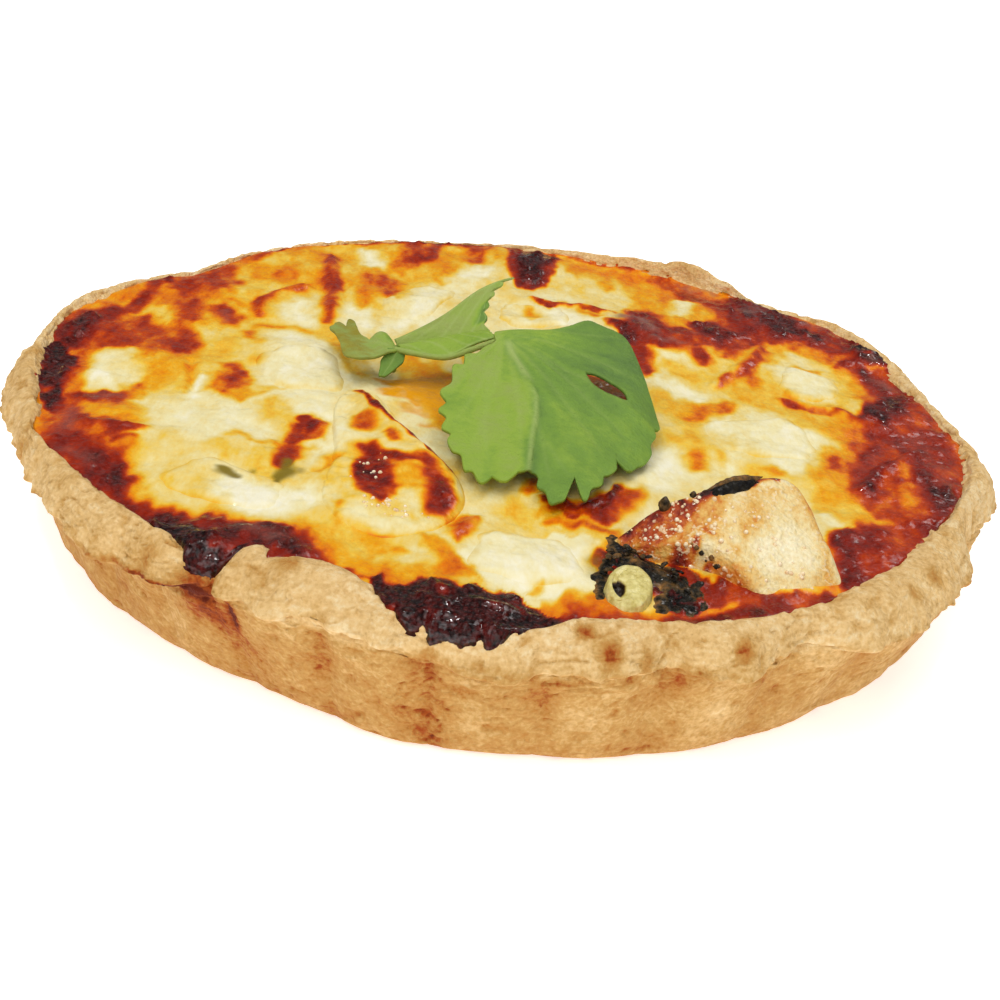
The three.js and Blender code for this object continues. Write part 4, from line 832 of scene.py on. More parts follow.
# Colours of the top by browning, of its painted sheen and of what lies on it, as sRGB. Part of its grain
# is drawn out from front to back
BROWNED = [
    (0, 252, 245, 216), (0.1, 245, 232, 178), (0.2, 240, 215, 136), (0.3, 241, 199, 74),
    (0.4, 240, 167, 16), (0.5, 234, 126, 2), (0.6, 199, 69, 2), (0.7, 159, 38, 2), (0.8, 128, 24, 5),
    (0.9, 80, 12, 7), (1, 28, 6, 6),
]
SHEEN_MAUVE, OLIVE_GREEN, AMBER = (150, 104, 92), (126, 106, 24), (236, 160, 10)
DRAWN = (1, 0.5, 1)
TOP = make_finish(
    "browned_top",
    lambda w: (
        w.mark("olive").mixed((w.mark("juice") * (w.grain(1.6, 2) * 1.2 + 0.4)).mixed(
            w.mark("film").mixed(
                (w.mark("browning") + 0.16 * w.grain(1.1, 3, DRAWN) + 0.10 * w.grain(0.4, 2, DRAWN) - 0.13
                 - w.mark("browning").above(0.80) * w.beads(0.5) * 0.35
                 ).ramp(BROWNED), SHEEN_MAUVE), AMBER), OLIVE_GREEN),
        0.44 - 0.16 * w.mark("browning") + 0.14 * w.grain(1.3),
        w.grain(0.8, 2, DRAWN) * 0.5 + w.grain(1.8, 1, DRAWN) * 0.8
        + w.mark("browning") * w.grain(0.6, 1) * 1.5
        + w.mark("browning").above(0.78) * w.beads(0.5) * 7, 0.20),
    wet=lambda w: w.sum(
        "MAXIMUM", (w.mark("browning") * 1.6).above(0.4) * (w.grain(0.5, 1) * 4 - 1.4),
        w.grain(1.2, 2) * 3 - 1.7 + w.mark("juice") * 0.3),
    Specular_IOR_Level=0.12, Coat_Roughness=0.10, Coat_IOR=1.4)
juice = painted(x + 0.6 * noise(x, y, 0, 1.4, 38), y + 0.9 * noise(x, y, 0, 1.4, 39), JUICE)
make_piece(
    "custard", [points_at(x, y, z), *below, (0, 0, CUSTARD_FLOOR)], disc_faces(GRID, edge, len(below)),
    TOP, "filling", ["filling"],
    {"browning": (depth, 0.5), "film": (film, 0), "olive": (herb_bits(x, y), 0), "juice": (juice, 0)})

# Cheese. Seven chunks, half melted into the custard: each stands a little proud, with rounded
# edges that sink into the skin, and keeps its pale top where it did not brown.
CHUNK_GRID, CHUNK_FLOOR, EDGE_POWER = 73, 12.7, 0.62
CHEESES = {  # plan position, half width, half depth, turn and rise
    "cheese_front": (3.4, -43, 7.2, 6.6, 4, 1),
    "cheese_left_front": (-28.5, -35.5, 8.2, 5.6, -18, 0.9),
    "cheese_left_middle": (-26, -1.5, 6.4, 8.6, 20, 1),
    "cheese_right": (30.5, -5.5, 8.4, 7.4, 12, 0.9),
    "cheese_right_back": (38.5, 14, 5.2, 6.4, -12, 0.8),
    "cheese_back_left": (-14.5, 27.5, 4.8, 9.6, -18, 0.9),
    "cheese_back": (1.5, 27.5, 6.2, 5.4, 6, 1.1),
}
for order, (name, (u, v, half_width, half_depth, turn, rise)) in enumerate(CHEESES.items()):
    angle, share, edge = disc_grid(CHUNK_GRID)
    t = np.radians(angle)
    size = share * (1 + 0.05 * np.sin(3 * t + u) + 0.04 * np.cos(5 * t + v) + 0.03 * np.sin(9 * t + u))
    # A rounded oblong: the cosine and the sine of its angle are both raised to a power below 1
    x, y = turned(*(half * size * np.sign(wave) * np.abs(wave) ** EDGE_POWER
                    for half, wave in ((half_width, np.cos(t)), (half_depth, np.sin(t)))), turn)
    x, y = u + x, v + y
    depth, film = browning(x, y)
    crown = ease((1 - share) / 0.42)
    melt = 0.16 * noise(x, y, 0, 4.2, 40 + order)
    z = top_height(x, y, depth) - 0.6 + (rise * 0.4 + 0.6 + melt) * crown
    # Its edge browned a little where it sinks into the skin
    depth = depth * (1 - 0.08 * crown) + 0.09 * bell(crown - 0.62, 0.22) * (0.6 + noise(x, y, 0, 3, 50))
    below = points_at(mix(u, x[edge], 0.92), mix(v, y[edge], 0.92), CHUNK_FLOOR)
    make_piece(
        name + "_chunk", [points_at(x, y, z), below, (u, v, CHUNK_FLOOR)], disc_faces(CHUNK_GRID, edge, 1),
        TOP, "cheese", [name],
        {"browning": (depth, 0.2), "film": (film, 0), "olive": (herb_bits(x, y), 0)})

# Chicken. Two slices of roast breast laid in before baking: a pale, moist, fibrous cut face
# beaded with fat, and skin browned along the upper edge.
SLICES = {  # foot outline, ridge as plan position and height, slopes of front and back, rise of
    # the edge, and whether the custard's skin runs over it
    "chicken_right": (
        [(15.6, -40.2), (19.6, -41.2), (22.6, -42.2), (26, -44.2), (29.2, -45.2), (33.4, -44.6),
         (35.4, -42.6), (35.8, -39), (34.8, -34.6), (33.6, -30.6), (31.8, -27.8), (29, -27), (25.2, -28.4),
         (20.8, -30.8), (16.8, -31.8), (13.2, -35), (11.8, -38)],
        [(11, -38.4, 16.2), (13.6, -37.2, 18), (16.8, -35.4, 20.4), (20.8, -34.6, 22.2),
         (22.6, -33.9, 22.6), (25.3, -32.2, 23), (29.2, -30.2, 22.9), (32, -30.4, 22), (36.6, -32.4, 19.4)],
        0.5, 2.2, 2.8, False),
    "chicken_left": (
        [(-19.6, -5.6), (-20.8, -11), (-20.4, -17), (-19.6, -23.8), (-19.2, -30), (-18.6, -37),
         (-15.6, -41.6), (-10.5, -42.6), (-6.2, -40.6), (-3.8, -36), (-3.4, -31), (-5.4, -25), (-9, -19),
         (-13, -12.4), (-16.6, -6.6)],
        [(-19.6, -5, 16.4), (-17, -9.3, 17.7), (-13, -16.9, 18.4), (-10.6, -20.4, 18.5),
         (-8.2, -23.6, 18.3), (-5, -27.4, 17.6), (-2.5, -31, 16.2)],
        0.1, 0.9, 1.5, True),
}
# Browning of each slice in plan, as strokes
SKINS = {
    "chicken_right": [
        (0.46, 2.2, (26.4, -36.3, 0.9), (25.6, -38, 0.6)), (0.12, 3, (28, -40, 2.4), (31, -38, 2.6)),
        (0.4, 1.6, (31.2, -31, 0.6), (33.2, -35.2, 0.7), (34.6, -40.6, 0.9), (34, -44, 0.8)),
        (0.64, 1.2, (29.6, -30.2, 0.6), (31.4, -30.6, 0.7), (32.6, -32.6, 0.4)),
        (0.6, 2.2, (14.4, -39, 1.4), (16, -39.4, 1.8), (18, -37.6, 1.5), (20, -36.2, 0.9)),
        (0.48, 2, (17.6, -41.2, 1.2), (20, -39, 0.9), (22, -36.6, 0.7)),
        (0.7, 1.8, (14, -38.2, 1), (17, -36.8, 1.1), (19.4, -35.8, 0.9), (21.4, -35.2, 0.5)),
        (0.66, 1, (15.4, -40.2, 0.5), (17.8, -38.8, 0.4)), (0.66, 1, (19, -38.2, 0.4)),
        (0.86, 1.2, (13.6, -37.4, 0.6), (16.2, -35.6, 0.7), (18.4, -35, 0.6)),
        (0.9, 1, (20.6, -34.7, 0.7), (24.6, -32.4, 0.9), (28, -30.8, 0.7)),
        (0.58, 1.4, (22.4, -42.4, 0.5), (27, -44.6, 0.5), (33.6, -44.4, 0.5)),
        (0.84, 1, (18.6, -41.4, 0.9), (20.4, -42.6, 0.9)), (0.74, 0.8, (20.4, -40.6, 0.5)),
        (0.74, 0.8, (21.8, -42.2, 0.5)), (0.7, 0.8, (21.6, -39.6, 0.3)),
    ],
    "chicken_left": [
        (0.27, 3, (-17.6, -10, 1), (-15.6, -16, 1.8), (-12.4, -21, 1.4), (-8, -27, 1)),
        (0.62, 1.8, (-16.3, -15, 0.8), (-16.4, -18.4, 1.3)),
        (0.6, 1.2, (-13.4, -20.4, 0.6), (-12.6, -21.4, 0.7)),
        (0.8, 0.8, (-18.6, -7.4, 0.2), (-17, -9.7, 0.4), (-15, -13.7, 0.5), (-13, -16.9, 0.4),
         (-10.6, -20.4, 0.5), (-8.2, -23.8, 0.4), (-5, -27.8, 0.2)),
        (0.46, 2.4, (-15.6, -24, 1.4), (-12.6, -30, 3.2), (-7.6, -31, 2), (-6.6, -36, 1.2)),
        (0.76, 1.6, (-15.2, -24, 0.7), (-12.8, -25.8, 1), (-11, -26.8, 0.9), (-9, -26.6, 0.7)),
        (0.78, 1.6, (-14.4, -26.4, 1.4), (-14, -29.6, 2), (-13.2, -32.8, 2), (-12.4, -34.8, 1)),
        (0.86, 1.8, (-15, -26.4, 0.7), (-14.2, -30, 1)), (0.64, 1.2, (-12, -32.6, 0.5), (-11.4, -34, 0.5)),
        (0.38, 1.6, (-10.6, -29.6, 0.7), (-9, -31.6, 0.9)),
        (0.7, 2, (-8.8, -25.8, 0.9), (-7.2, -28.6, 1.1), (-5.9, -33, 1.6), (-6.6, -36.4, 1.2)),
        (0.82, 1.4, (-6.6, -31, 0.7), (-6.2, -35, 0.9)), (0.14, 2.5, (-14, -38.6, 1.6), (-9, -40.4, 1.6)),
    ],
}
FATTY = {  # places where beads of fat stand: middle, spread either way and how many
    "chicken_right": [
        (17.4, -38.4, 2, 0.9, 26), (20.8, -41, 1.2, 0.8, 24), (24.6, -38.6, 3.2, 2.2, 34),
        (30.4, -41.6, 2.4, 1.4, 16), (19.6, -35.6, 1.2, 0.3, 8),
    ],
    "chicken_left": [(-12.2, -36.2, 1.5, 1, 22), (-13.6, -29.4, 1, 1.6, 12), (-9.4, -38.2, 1.2, 0.7, 8)],
}
# The pale specks mixed into the colour of the cut face are painted glints of its wet surface
ROASTED = make_finish(
    "roast_chicken",
    lambda w: (
        w.sum("MINIMUM", w.grain(0.42, 1) * 6 + w.grain(1.6, 2) * 4 - 5.7, 0.6).mixed(
            (w.mark("browning") + 0.20 * w.grain(1.0, 3) + 0.22 * w.grain(0.5, 2) - 0.23).ramp([
                (0, 255, 245, 210), (0.2, 243, 219, 158), (0.38, 230, 180, 92),
                (0.52, 212, 122, 36), (0.64, 178, 70, 22), (0.76, 132, 38, 18),
                (0.9, 62, 20, 12), (1, 22, 12, 10)]), (250, 228, 184)),
        0.34 + 0.2 * w.grain(0.7),
        w.grain(0.42, 2) * 1.4 + w.grain(0.9, 2), 0.20),
    wet=lambda w: w.grain(0.42, 1) * 5 - 2.9,
    Specular_IOR_Level=0.25, Coat_Roughness=0.10)
FAT = make_finish(
    "bead_of_fat",
    lambda w: ((w.grain(0.6, 2) * 1.6 - 0.3).ramp([
        (0, 255, 246, 224), (0.5, 250, 224, 178), (1, 222, 160, 92)]),
        0.2 + 0.1 * w.grain(0.5), w.grain(0.3, 1), 0.05),
    Coat_Weight=0.8, Coat_Roughness=0.06)
SLICE_FLOOR, SIDE_HEIGHTS = 11.5, [[11.5], [13.5], [15.2]]
BEAD_RINGS, BEAD_COLUMNS = 9, 14
PALE = 0.3  # browning of a skin without blisters


def ball(rings, columns, margin):
    """Rings of points on a ball of radius 1, from a small ring about one pole to the other."""
    v = np.linspace(margin, 1 - margin, rings)[:, None] * math.pi
    u = np.arange(columns) * 2 * math.pi / columns
    return points_at(np.sin(v) * np.cos(u), np.sin(v) * np.sin(u), -np.cos(v))


def poled(grid):
    """Closed rings of points, then the middles of the first and the last ring as their poles."""
    return [grid, grid[0].mean(0), grid[-1].mean(0)]


for name, (foot, ridge, front, behind, rise, molten) in SLICES.items():
    outline, line = outlined(foot, 22), through(ridge, 24)
    middle = outline.mean(0)

    def slice_height(x, y):
        """Height of the slice: the ridge's height above or below the place, less how far in front
        of it or behind it the place lies times the slope there, with the arris worn round."""
        before = np.interp(x, line[:, 0], line[:, 1]) - y
        return np.interp(x, line[:, 0], line[:, 2]) - higher(front * before, -behind * before, 0.5)

    # Three rings down the side, then the face from its edge to its middle
    scale = np.concatenate([[0.86, 0.97, 1], 1 - np.linspace(0.006, 1, 100)[:-1]])[:, None]
    x, y = (mix(centre, edge, scale) for centre, edge in zip(middle, outline.T))
    inside = (1 - scale) * np.hypot(*(outline - middle).T)
    ground = top_height(x, y, PALE)
    # The face meets the custard in a rounded edge and rises to its own height within 2 mm. Where
    # it runs in under the custard it stays half a millimetre below, or just above where the
    # custard's skin runs over it
    face = lower(slice_height(x, y), ground - 0.4 + rise * inside ** 0.8, 0.35)
    raised = higher(face, ground - 0.5 + 0.8 * molten * ease(inside / 1.6), 0.05)
    fibre = (0.10 * noise(x * 0.5 + y * 0.3, y - x * 0.4, face, 1.6, 60) + 0.10 * noise(x, y, face, 0.8, 61)
             + 0.28 * noise(x, y, face, 3.6, 62) * ease(inside / 3))
    z = raised + fibre * ease(inside / 0.8)
    z[:3] = SIDE_HEIGHTS
    under = browning(x, y)[0] if molten else 0.29 + noises(x, y, 0, (0.06, 3, 65), (0.10, 1.1, 66))
    skin = painted(x + 0.5 * noise(x, 0.5 * y, 0, 1.6, 63), y + 0.8 * noise(x, 0.5 * y, 0, 1.6, 64),
                   SKINS[name], under)
    skin = skin + 0.16 * noise(x, y, z, 0.9, 67) * skin + 0.16 * molten * bell(inside - 0.3, 0.4)
    slab = points_at(x, y, z)
    make_piece(
        name + "_slice", [slab, (*middle, SLICE_FLOOR), (*middle, slice_height(*middle))],
        capped(*x.shape), TOP if molten else ROASTED, "chicken", [name], {"browning": (skin, 0.2)})
    # Beads of fat, each seated on the nearest point of the slice
    draw = np.random.default_rng(75)
    spots = np.concatenate([(u, v) + draw.normal(size=(number, 2)) * (a, b)
                            for u, v, a, b, number in FATTY[name]])
    slab = slab.reshape(-1, 3)
    seats = slab[np.argmin(np.hypot(*(slab[:, None, :2] - spots).T), 1)]
    round_bead = ball(BEAD_RINGS, BEAD_COLUMNS, 0.04)
    bead = round_bead * draw.uniform(0.10, 0.27, len(seats))[:, None, None, None]
    beads = seats[:, None, None] + bead
    beads = beads + 0.25 * bead * noise(*np.moveaxis(beads, -1, 0), 0.4, 76)[..., None]
    make_piece(
        name.replace("chicken", "fat_beads"), [part for one in beads for part in poled(one)],
        [group for k in range(len(beads))
         for group in capped(BEAD_RINGS, BEAD_COLUMNS, k * (BEAD_RINGS * BEAD_COLUMNS + 2))],
        FAT, "chicken", [], {})

# Charred herbs. Coriander leaves and stalks that wilted in the oven into dark, oily, crumpled
# scraps: a trail on the custard round the onion, and burnt crusts stuck to the chicken's ridge.
# Each trail: its path, how many scraps lie along it, their spread, size and darkness
TRAILS = [
    ([(12, -40.6, 16.9), (13.4, -39.8, 17.1), (15.2, -41.2, 17)], 8, 0.6, 0.36, 0.7),
    ([(15.6, -41.6, 16.9), (17.4, -43.2, 17), (19, -44.8, 16.8), (19.8, -47, 16.6)], 10, 0.7, 0.36, 0.8),
    ([(12.2, -41.6, 16.9), (11.5, -43.6, 16.7), (11.2, -45, 16.6)], 4, 0.3, 0.4, 0.5),
    ([(20.9, -34.8, 21.9), (24, -33, 22.9), (26.4, -31.9, 22.9)], 3, 0.15, 0.7, 0.85),
]


def sheet(grid, thickness, closed=False):
    """A thin closed sheet round a grid of middle points: the same grid moved half a thickness each
    way along its normals, and joined round its edges. Returns its points and faces."""
    shift = normals(grid, closed) * thickness / 2
    count = grid[..., 0].size
    number = np.arange(count).reshape(grid.shape[:2])
    flat = ring_faces(*number.shape, closed)
    faces, edges = [flat + count, flat[:, ::-1]], [(number[0], 1), (number[-1], -1)]
    if not closed:
        edges += [(number[:, 0], -1), (number[:, -1], 1)]
    for line, order in edges:
        following = np.roll(line, -1)
        band = np.stack([line, following, following + count, line + count], -1)
        faces.append((band if closed else band[:-1])[:, ::order])
    return [grid - shift, grid + shift], faces


CHARRED = make_finish(
    "charred_herb",
    lambda w: (
        (w.mark("char") + 0.9 * w.grain(0.55, 3) - 0.45).ramp([
            (0, 196, 148, 84), (0.25, 142, 98, 48), (0.5, 92, 70, 42), (0.72, 36, 32, 22), (1, 8, 5, 5)]),
        0.26 + 0.2 * w.grain(0.8),
        w.grain(0.4, 3) + w.grain(1.0, 2), 0.25),
    wet=lambda w: w.grain(0.4, 1) * 6 - 3.3,
    Specular_IOR_Level=0.12, Coat_Roughness=0.07)
draw = np.random.default_rng(70)
SCRAP_COLUMNS, SCRAP_ROWS, SCRAP_THICKNESS = 15, 11, 0.22
parts, faces, char = [], [], []
u, v = np.meshgrid(np.linspace(-1, 1, SCRAP_COLUMNS), np.linspace(-1, 1, SCRAP_ROWS))
for path, number, spread, size, dark in TRAILS:
    line = through(path, number)
    for k in range(number):
        # A scrap: a small blade, wrinkled by noise, lying nearly flat and any way round
        length, width, sag = size * draw.uniform([0.7, 0.4, 0.3], [1.3, 0.8, 0.8])
        x, y = turned(length * u, width * v * (1 - 0.5 * u ** 2), draw.uniform(0, 360))
        z = math.tan(0.2 * draw.normal()) * y - 0.5 * sag * (u ** 2 + v ** 2)
        place = line[int(draw.uniform(0, len(line)))] + draw.normal(size=3) * spread * (1, 1, 0.45)
        blade = points_at(x, y, z) + place
        at = np.moveaxis(blade, -1, 0)
        blade = blade + points_at(*(
            noises(*at, (0.12, 0.9, 71 + axis), (0.05, 0.45, 74 + axis)) for axis in range(3)))
        scrap, scrap_faces = sheet(blade, SCRAP_THICKNESS)
        faces += [group + len(char) * 2 * u.size for group in scrap_faces]
        parts += scrap
        char.append(np.full(2 * u.size, np.clip(dark + draw.normal() * 0.14, 0, 1)))
make_piece("herb_scraps", parts, faces, CHARRED, "herbs", ["charred_herbs"], {"char": (char, 0)})

# The heap under the scraps: leaf gone to crumbs, its height painted along four paths
HEAP = [
    (0.85, 2, (12.8, -38.4, 0.9), (13.8, -40.6, 1.5), (15.6, -42.2, 1.3), (17.6, -44.4, 1.5),
     (19.2, -46.6, 1.5), (19.2, -49, 0.9)),
    (0.6, 1.4, (12.2, -41.4, 0.7), (11.2, -43.6, 0.5), (10.8, -46, 0.4), (11, -48.6, 0.3)),
    (0.6, 1.4, (20.6, -43.8, 0.6), (20.8, -46.6, 0.7)), (0.5, 1.2, (17.6, -47.4, 0.8), (17.2, -49.6, 0.6)),
]
HEAP_CELL, HEAP_THICKNESS = 0.085, 0.25
x, y = np.meshgrid(np.arange(9.5, 23.1, HEAP_CELL), np.arange(-51.0, -36.2, HEAP_CELL))
heap = painted(x + noises(x, y, 0, (0.5, 1.5, 120), (0.25, 0.6, 121)),
               y + noises(x, y, 0, (0.9, 1.5, 122), (0.5, 0.6, 123)), HEAP)
crumbs = (noises(x, 0.7 * y, 0, (0.5, 1.2, 124), (0.3, 0.35, 126))
          + 0.25 * (1 - 2 * np.abs(noise(x, 0.7 * y, heap, 0.55, 125))))
z = top_height(x, y, PALE) - 0.2 + heap * (0.42 + 0.26 * crumbs)
dark = np.clip(0.8 - 0.3 * crumbs + 0.3 * noise(x, y, 0, 1.3, 127) - 0.3 * ease((0.5 - heap) / 0.4), 0, 1)
make_piece("herb_heap", *sheet(points_at(x, y, z), HEAP_THICKNESS), CHARRED, "herbs", ["charred_herbs"],
           {"char": ([dark, dark], 0)})

# Burnt crusts on the ridge and grains of herb in front of it: lumps wrinkled by noise
LUMPS = [  # middle, half sizes, turn in plan, darkness and rise along the length
    ((23.5, -33.7, 22), (3.9, 0.95, 0.95), 29, 0.92, 0.12),
    ((23.8, -33.1, 22.4), (3.7, 0.6, 0.95), 29, 0.42, 0.12),
    ((17, -35.6, 20.2), (0.75, 0.65, 1.15), 0, 0.58, 0),
    ((19.8, -34.9, 21.5), (0.45, 0.45, 0.4), 0, 0.7, 0),
]
for k in range(7):
    place = mix(np.array([19.5, -40.3, 19.2]), np.array([22.3, -42.9, 17.9]), draw.uniform(0, 1))
    LUMPS.append((place + draw.normal(size=3) * (0.5, 0.7, 0.15),
                  draw.uniform(0.14, 0.34) * np.array([1, 1, 0.9]), 0, draw.uniform(0.3, 0.8), 0))
LUMP_RINGS, LUMP_COLUMNS = 28, 60
parts, faces, char = [], [], []
for order, (middle, sizes, turn, dark, climb) in enumerate(LUMPS):
    x, y, z = np.moveaxis(ball(LUMP_RINGS, LUMP_COLUMNS, 0.02) * sizes, -1, 0)
    seed = 80 + 3 * order
    folds = noises(x, y, z, (0.10, 1.6, seed), (0.12, 0.6, seed + 1), (0.08, 0.35, seed + 2))
    girth = (1 - 0.8 * (x / sizes[0]) ** 2) * (1 + folds)
    x, y, z = x * (1 + folds), y * girth, z * girth + climb * x * (1 + folds)
    parts += poled(points_at(*turned(x, y, turn), z) + middle)
    faces += capped(LUMP_RINGS, LUMP_COLUMNS, order * (LUMP_RINGS * LUMP_COLUMNS + 2))
    char.append(np.append(np.clip(dark - 0.5 * folds, 0, 1), [dark, dark]))
make_piece("burnt_crusts", parts, faces, CHARRED, "herbs", ["charred_herbs"], {"char": (char, 0)})

# Spring onion. One short slice of the hollow green stem, baked soft, standing on its edge in the
# custard beside the herbs: olive and juicy, with its hole off to the left, darkened as painted shade.
ONION_AT, ONION_STRETCH, ONION_COLUMNS = (13.6, -47.9, 16), 1.6, 96
# How far the hole lies off the middle, and the rows of the profile after which the shape and the
# colour follow it
HOLE_SHIFT, SHIFT_ROW, HOLE_ROW = (-1.25, -0.9), 36, 40
radius, height = through([
    (0.02, -2.2), (1.5, -2.2), (2.5, -2.15), (3, -1.5), (3.1, 0), (3.05, 0.6), (2.75, 1.2),
    (2, 1.5), (1.3, 1.4), (1, 1.2), (0.9, 0.95), (0.75, 0.75), (0.02, 0.7)],
    [4, 5, 6, 8, 6, 6, 8, 8, 6, 6, 6, 4]).T[..., None]
row = np.arange(len(radius))[:, None]
t = np.arange(ONION_COLUMNS) * 2 * math.pi / ONION_COLUMNS
within = ease((2.4 - radius) / 1.4) * (row > SHIFT_ROW)
swell = 0.92 + 0.05 * np.sin(2 * t + 1) + 0.02 * np.sin(3 * t)
x = ONION_AT[0] + radius * np.cos(t) * swell / math.sqrt(ONION_STRETCH) + HOLE_SHIFT[0] * within
y = (radius * np.sin(t) * swell * math.sqrt(ONION_STRETCH) * (1 + 0.1 * within)
     + HOLE_SHIFT[1] * within)
z = ONION_AT[2] + height - 0.25 * (radius * np.cos(t) < 0) * within + 0.2 * y
y = y + ONION_AT[1]
ring = points_at(x, y, z)
ring += normals(ring) * noises(x, y, z, (0.08, 1.3, 90), (0.06, 0.6, 91))[..., None]
# Painted shade: the hollow is only a shallow dip, darkened in the colour as the shade inside the stem
hole = np.repeat(ease((1.25 - radius) / 0.4) * (row > HOLE_ROW), ONION_COLUMNS)
make_piece(
    "onion_slice", poled(ring), capped(*x.shape),
    make_finish(
        "baked_onion",
        lambda w: (
            (w.mark("hole") * 0.85 + 0.6 * w.grain(1.1, 3) + 0.3 * w.grain(0.4, 2) - 0.2).ramp([
                (0, 244, 234, 176), (0.22, 226, 211, 132), (0.4, 194, 174, 84),
                (0.62, 134, 108, 42), (0.8, 74, 50, 24), (1, 38, 24, 12)]),
            0.24 + 0.2 * w.grain(0.8),
            w.grain(0.5, 3) + w.grain(1.2, 2), 0.22),
        Specular_IOR_Level=0.5),
    "onion", ["spring_onion_ring"], {"hole": (np.append(hole, 0), 1)})

# Coriander. A fresh three-part leaf laid on top after baking: a broad blade with small round
# teeth, torn by one slit, and two side leaflets, one folded and one lobed. Thin, matt and veined.
LEAF_EDGE = [
    (-2.8, -1.9), (-4, -3.6), (-4.9, -5.6), (-6.1, -6.4), (-6.1, -8.3), (-7.3, -9.1), (-7.1, -12.4),
    (-8.2, -14.5), (-7.3, -16.4), (-8, -18.2), (-7, -19.5), (-7.3, -21.5), (-6.2, -22.5), (-6.4, -24),
    (-5.7, -25.9), (-4.7, -26.4), (-4.1, -29.1), (-3.2, -29), (-2.4, -30.6), (-1.7, -30.6), (-1.1, -29.4),
    (-0.1, -30.2), (0.9, -29.6), (1.2, -26.2), (1.6, -27.9), (3.2, -27.2), (3.9, -28.1), (3.9, -29.8),
    (4.8, -30.8), (5.4, -32.9), (6.3, -32.5), (7, -31.7), (7.3, -28.9), (7.6, -27), (8.1, -29.1),
    (8.7, -31.3), (9.3, -31.4), (9.7, -29.5), (10.7, -28.4), (10.9, -26.4), (11.7, -25.5), (12.4, -23.9),
    (12, -22.5), (11.5, -20.4), (12.7, -22.1), (13.9, -22.9), (14.9, -21), (15.9, -19.6), (16.5, -17.6),
    (16.4, -16), (17, -14.2), (16.8, -12.8), (17.5, -11.4), (16, -5.1), (14.7, -1.1), (13, 3.1),
    (10.7, 4.4), (8.2, 5.2), (5.4, 2.6), (2.7, 1), (-2.7, 0.1),
]
LEAF_SLIT = (10.9, -8.2, 3.1, 1.3, -35)  # plan position, half length, half width and turn
LEAF_THICKNESS, LEAF_ROOT = 0.36, (-1.9, -0.4)
LEAF_TIPS = [
    (8.2, 4.8), (13, 2.8), (16, -5.5), (17, -12), (15.6, -20), (12, -25), (9.2, -31), (5.8, -32.4),
    (2, -27), (-1, -30), (-4.4, -28.4), (-6.6, -22.5), (-7.8, -16), (-7, -10), (-5.4, -6),
]
# The blade's left half lies over its right half along this line
LEAF_FOLD = [
    (3, -26.2), (3, -21.5), (3.2, -16.6), (3, -13.6), (1.9, -10.3), (-0.2, -5.2), (-1.4, -1.4),
]


def leaf_height(x, y):
    """Height of the blade: tips on the custard, rising to the stalk and drooping to the right."""
    rise = np.maximum(0, (y + 32) / 32)
    return (17.7 + 6.0 * rise ** 1.15 - 0.022 * np.maximum(0, x - 6) ** 2
            + 0.25 * np.sin(0.55 * x) * np.minimum(1, rise))


def veins(x, y, root, tips):
    """Nearness, 0 to 1, to thin veins that leave the root with a slight bow and reach each tip."""
    near = 0
    for order, tip in enumerate(tips):
        dx, dy = tip[0] - root[0], tip[1] - root[1]
        length = math.hypot(dx, dy)
        along = ((x - root[0]) * dx + (y - root[1]) * dy) / length ** 2
        across = ((x - root[0]) * dy - (y - root[1]) * dx) / length
        part = np.clip(along, 0, 1)
        bow = 0.05 * length * math.cos(2.1 * order) * np.sin(np.pi * part)
        near = np.maximum(near, bell(across - bow, mix(0.4, 0.2, part)) * ease(along / 0.1)
                          * ease((1 - along) / 0.3))
    return near


LEAF = make_finish(
    "coriander_leaf",
    lambda w: (
        w.mark("vein").mixed(
            (w.mark("hue") + 0.20 * w.grain(0.9, 3) - 0.10).ramp([
                (0, 66, 92, 44), (0.2, 96, 128, 58), (0.4, 118, 152, 58), (0.55, 144, 172, 62),
                (0.7, 150, 166, 84), (0.85, 150, 140, 48), (1, 152, 136, 44)]),
            (166, 184, 104)),
        0.5 + 0.2 * w.grain(1.2),
        w.grain(0.5, 3) + 0.6 * w.grain(1.4, 2), 0.16),
    Specular_IOR_Level=0.22)


def make_leaf(name, grid, closed, hue, vein, nodes=()):
    """Makes one leaf piece: the sheet round a grid, with hue, vein and painted highlight marks on both its
    faces.
    """
    hue, vein = np.broadcast_arrays(hue, np.clip(vein, 0, 1))
    make_piece(name, *sheet(grid, LEAF_THICKNESS, closed), LEAF, "coriander", nodes,
               {"vein": ([vein, vein], 0), "hue": ([hue, hue], 0)})


# The broad blade: from the slit out to its toothed edge
edge = outlined(LEAF_EDGE, 6)
slit_x, slit_y, half_length, half_width, slit_turn = LEAF_SLIT
t = np.arctan2(edge[:, 1] - slit_y, edge[:, 0] - slit_x) - math.radians(slit_turn)
u, v = turned(half_length * np.cos(t), half_width * np.sin(t) * np.abs(np.sin(t)) ** 0.5, slit_turn)
share = (1 - np.linspace(0, 1, 66) ** 1.15)[:, None, None]
x, y = np.moveaxis(mix(points_at(slit_x + u, slit_y + v), edge, share), -1, 0)
ribs = veins(x, y, LEAF_ROOT, LEAF_TIPS)
from_x, from_y = x - LEAF_ROOT[0], y - LEAF_ROOT[1]
bearing, away = np.arctan2(from_y, from_x), np.hypot(from_x, from_y)
fold_x, fold_y = np.array(LEAF_FOLD).T
beside = x - np.interp(y, fold_y, fold_x)
over = ease(0.5 - beside / 0.5) * np.exp(-np.maximum(0, -beside) / 3) * ease((-4 - y) / 4)
streaks = noise(bearing * 9, away * 0.12, 0, 0.5, 98)
z = (leaf_height(x, y) + 0.45 * over - 0.06 * ribs + 0.16 * noise(x, y, 0, 3, 93)
     + 0.10 * streaks * ease(away / 6) + 0.25 * np.cos(11 * bearing) * ease((away - 6) / 20))
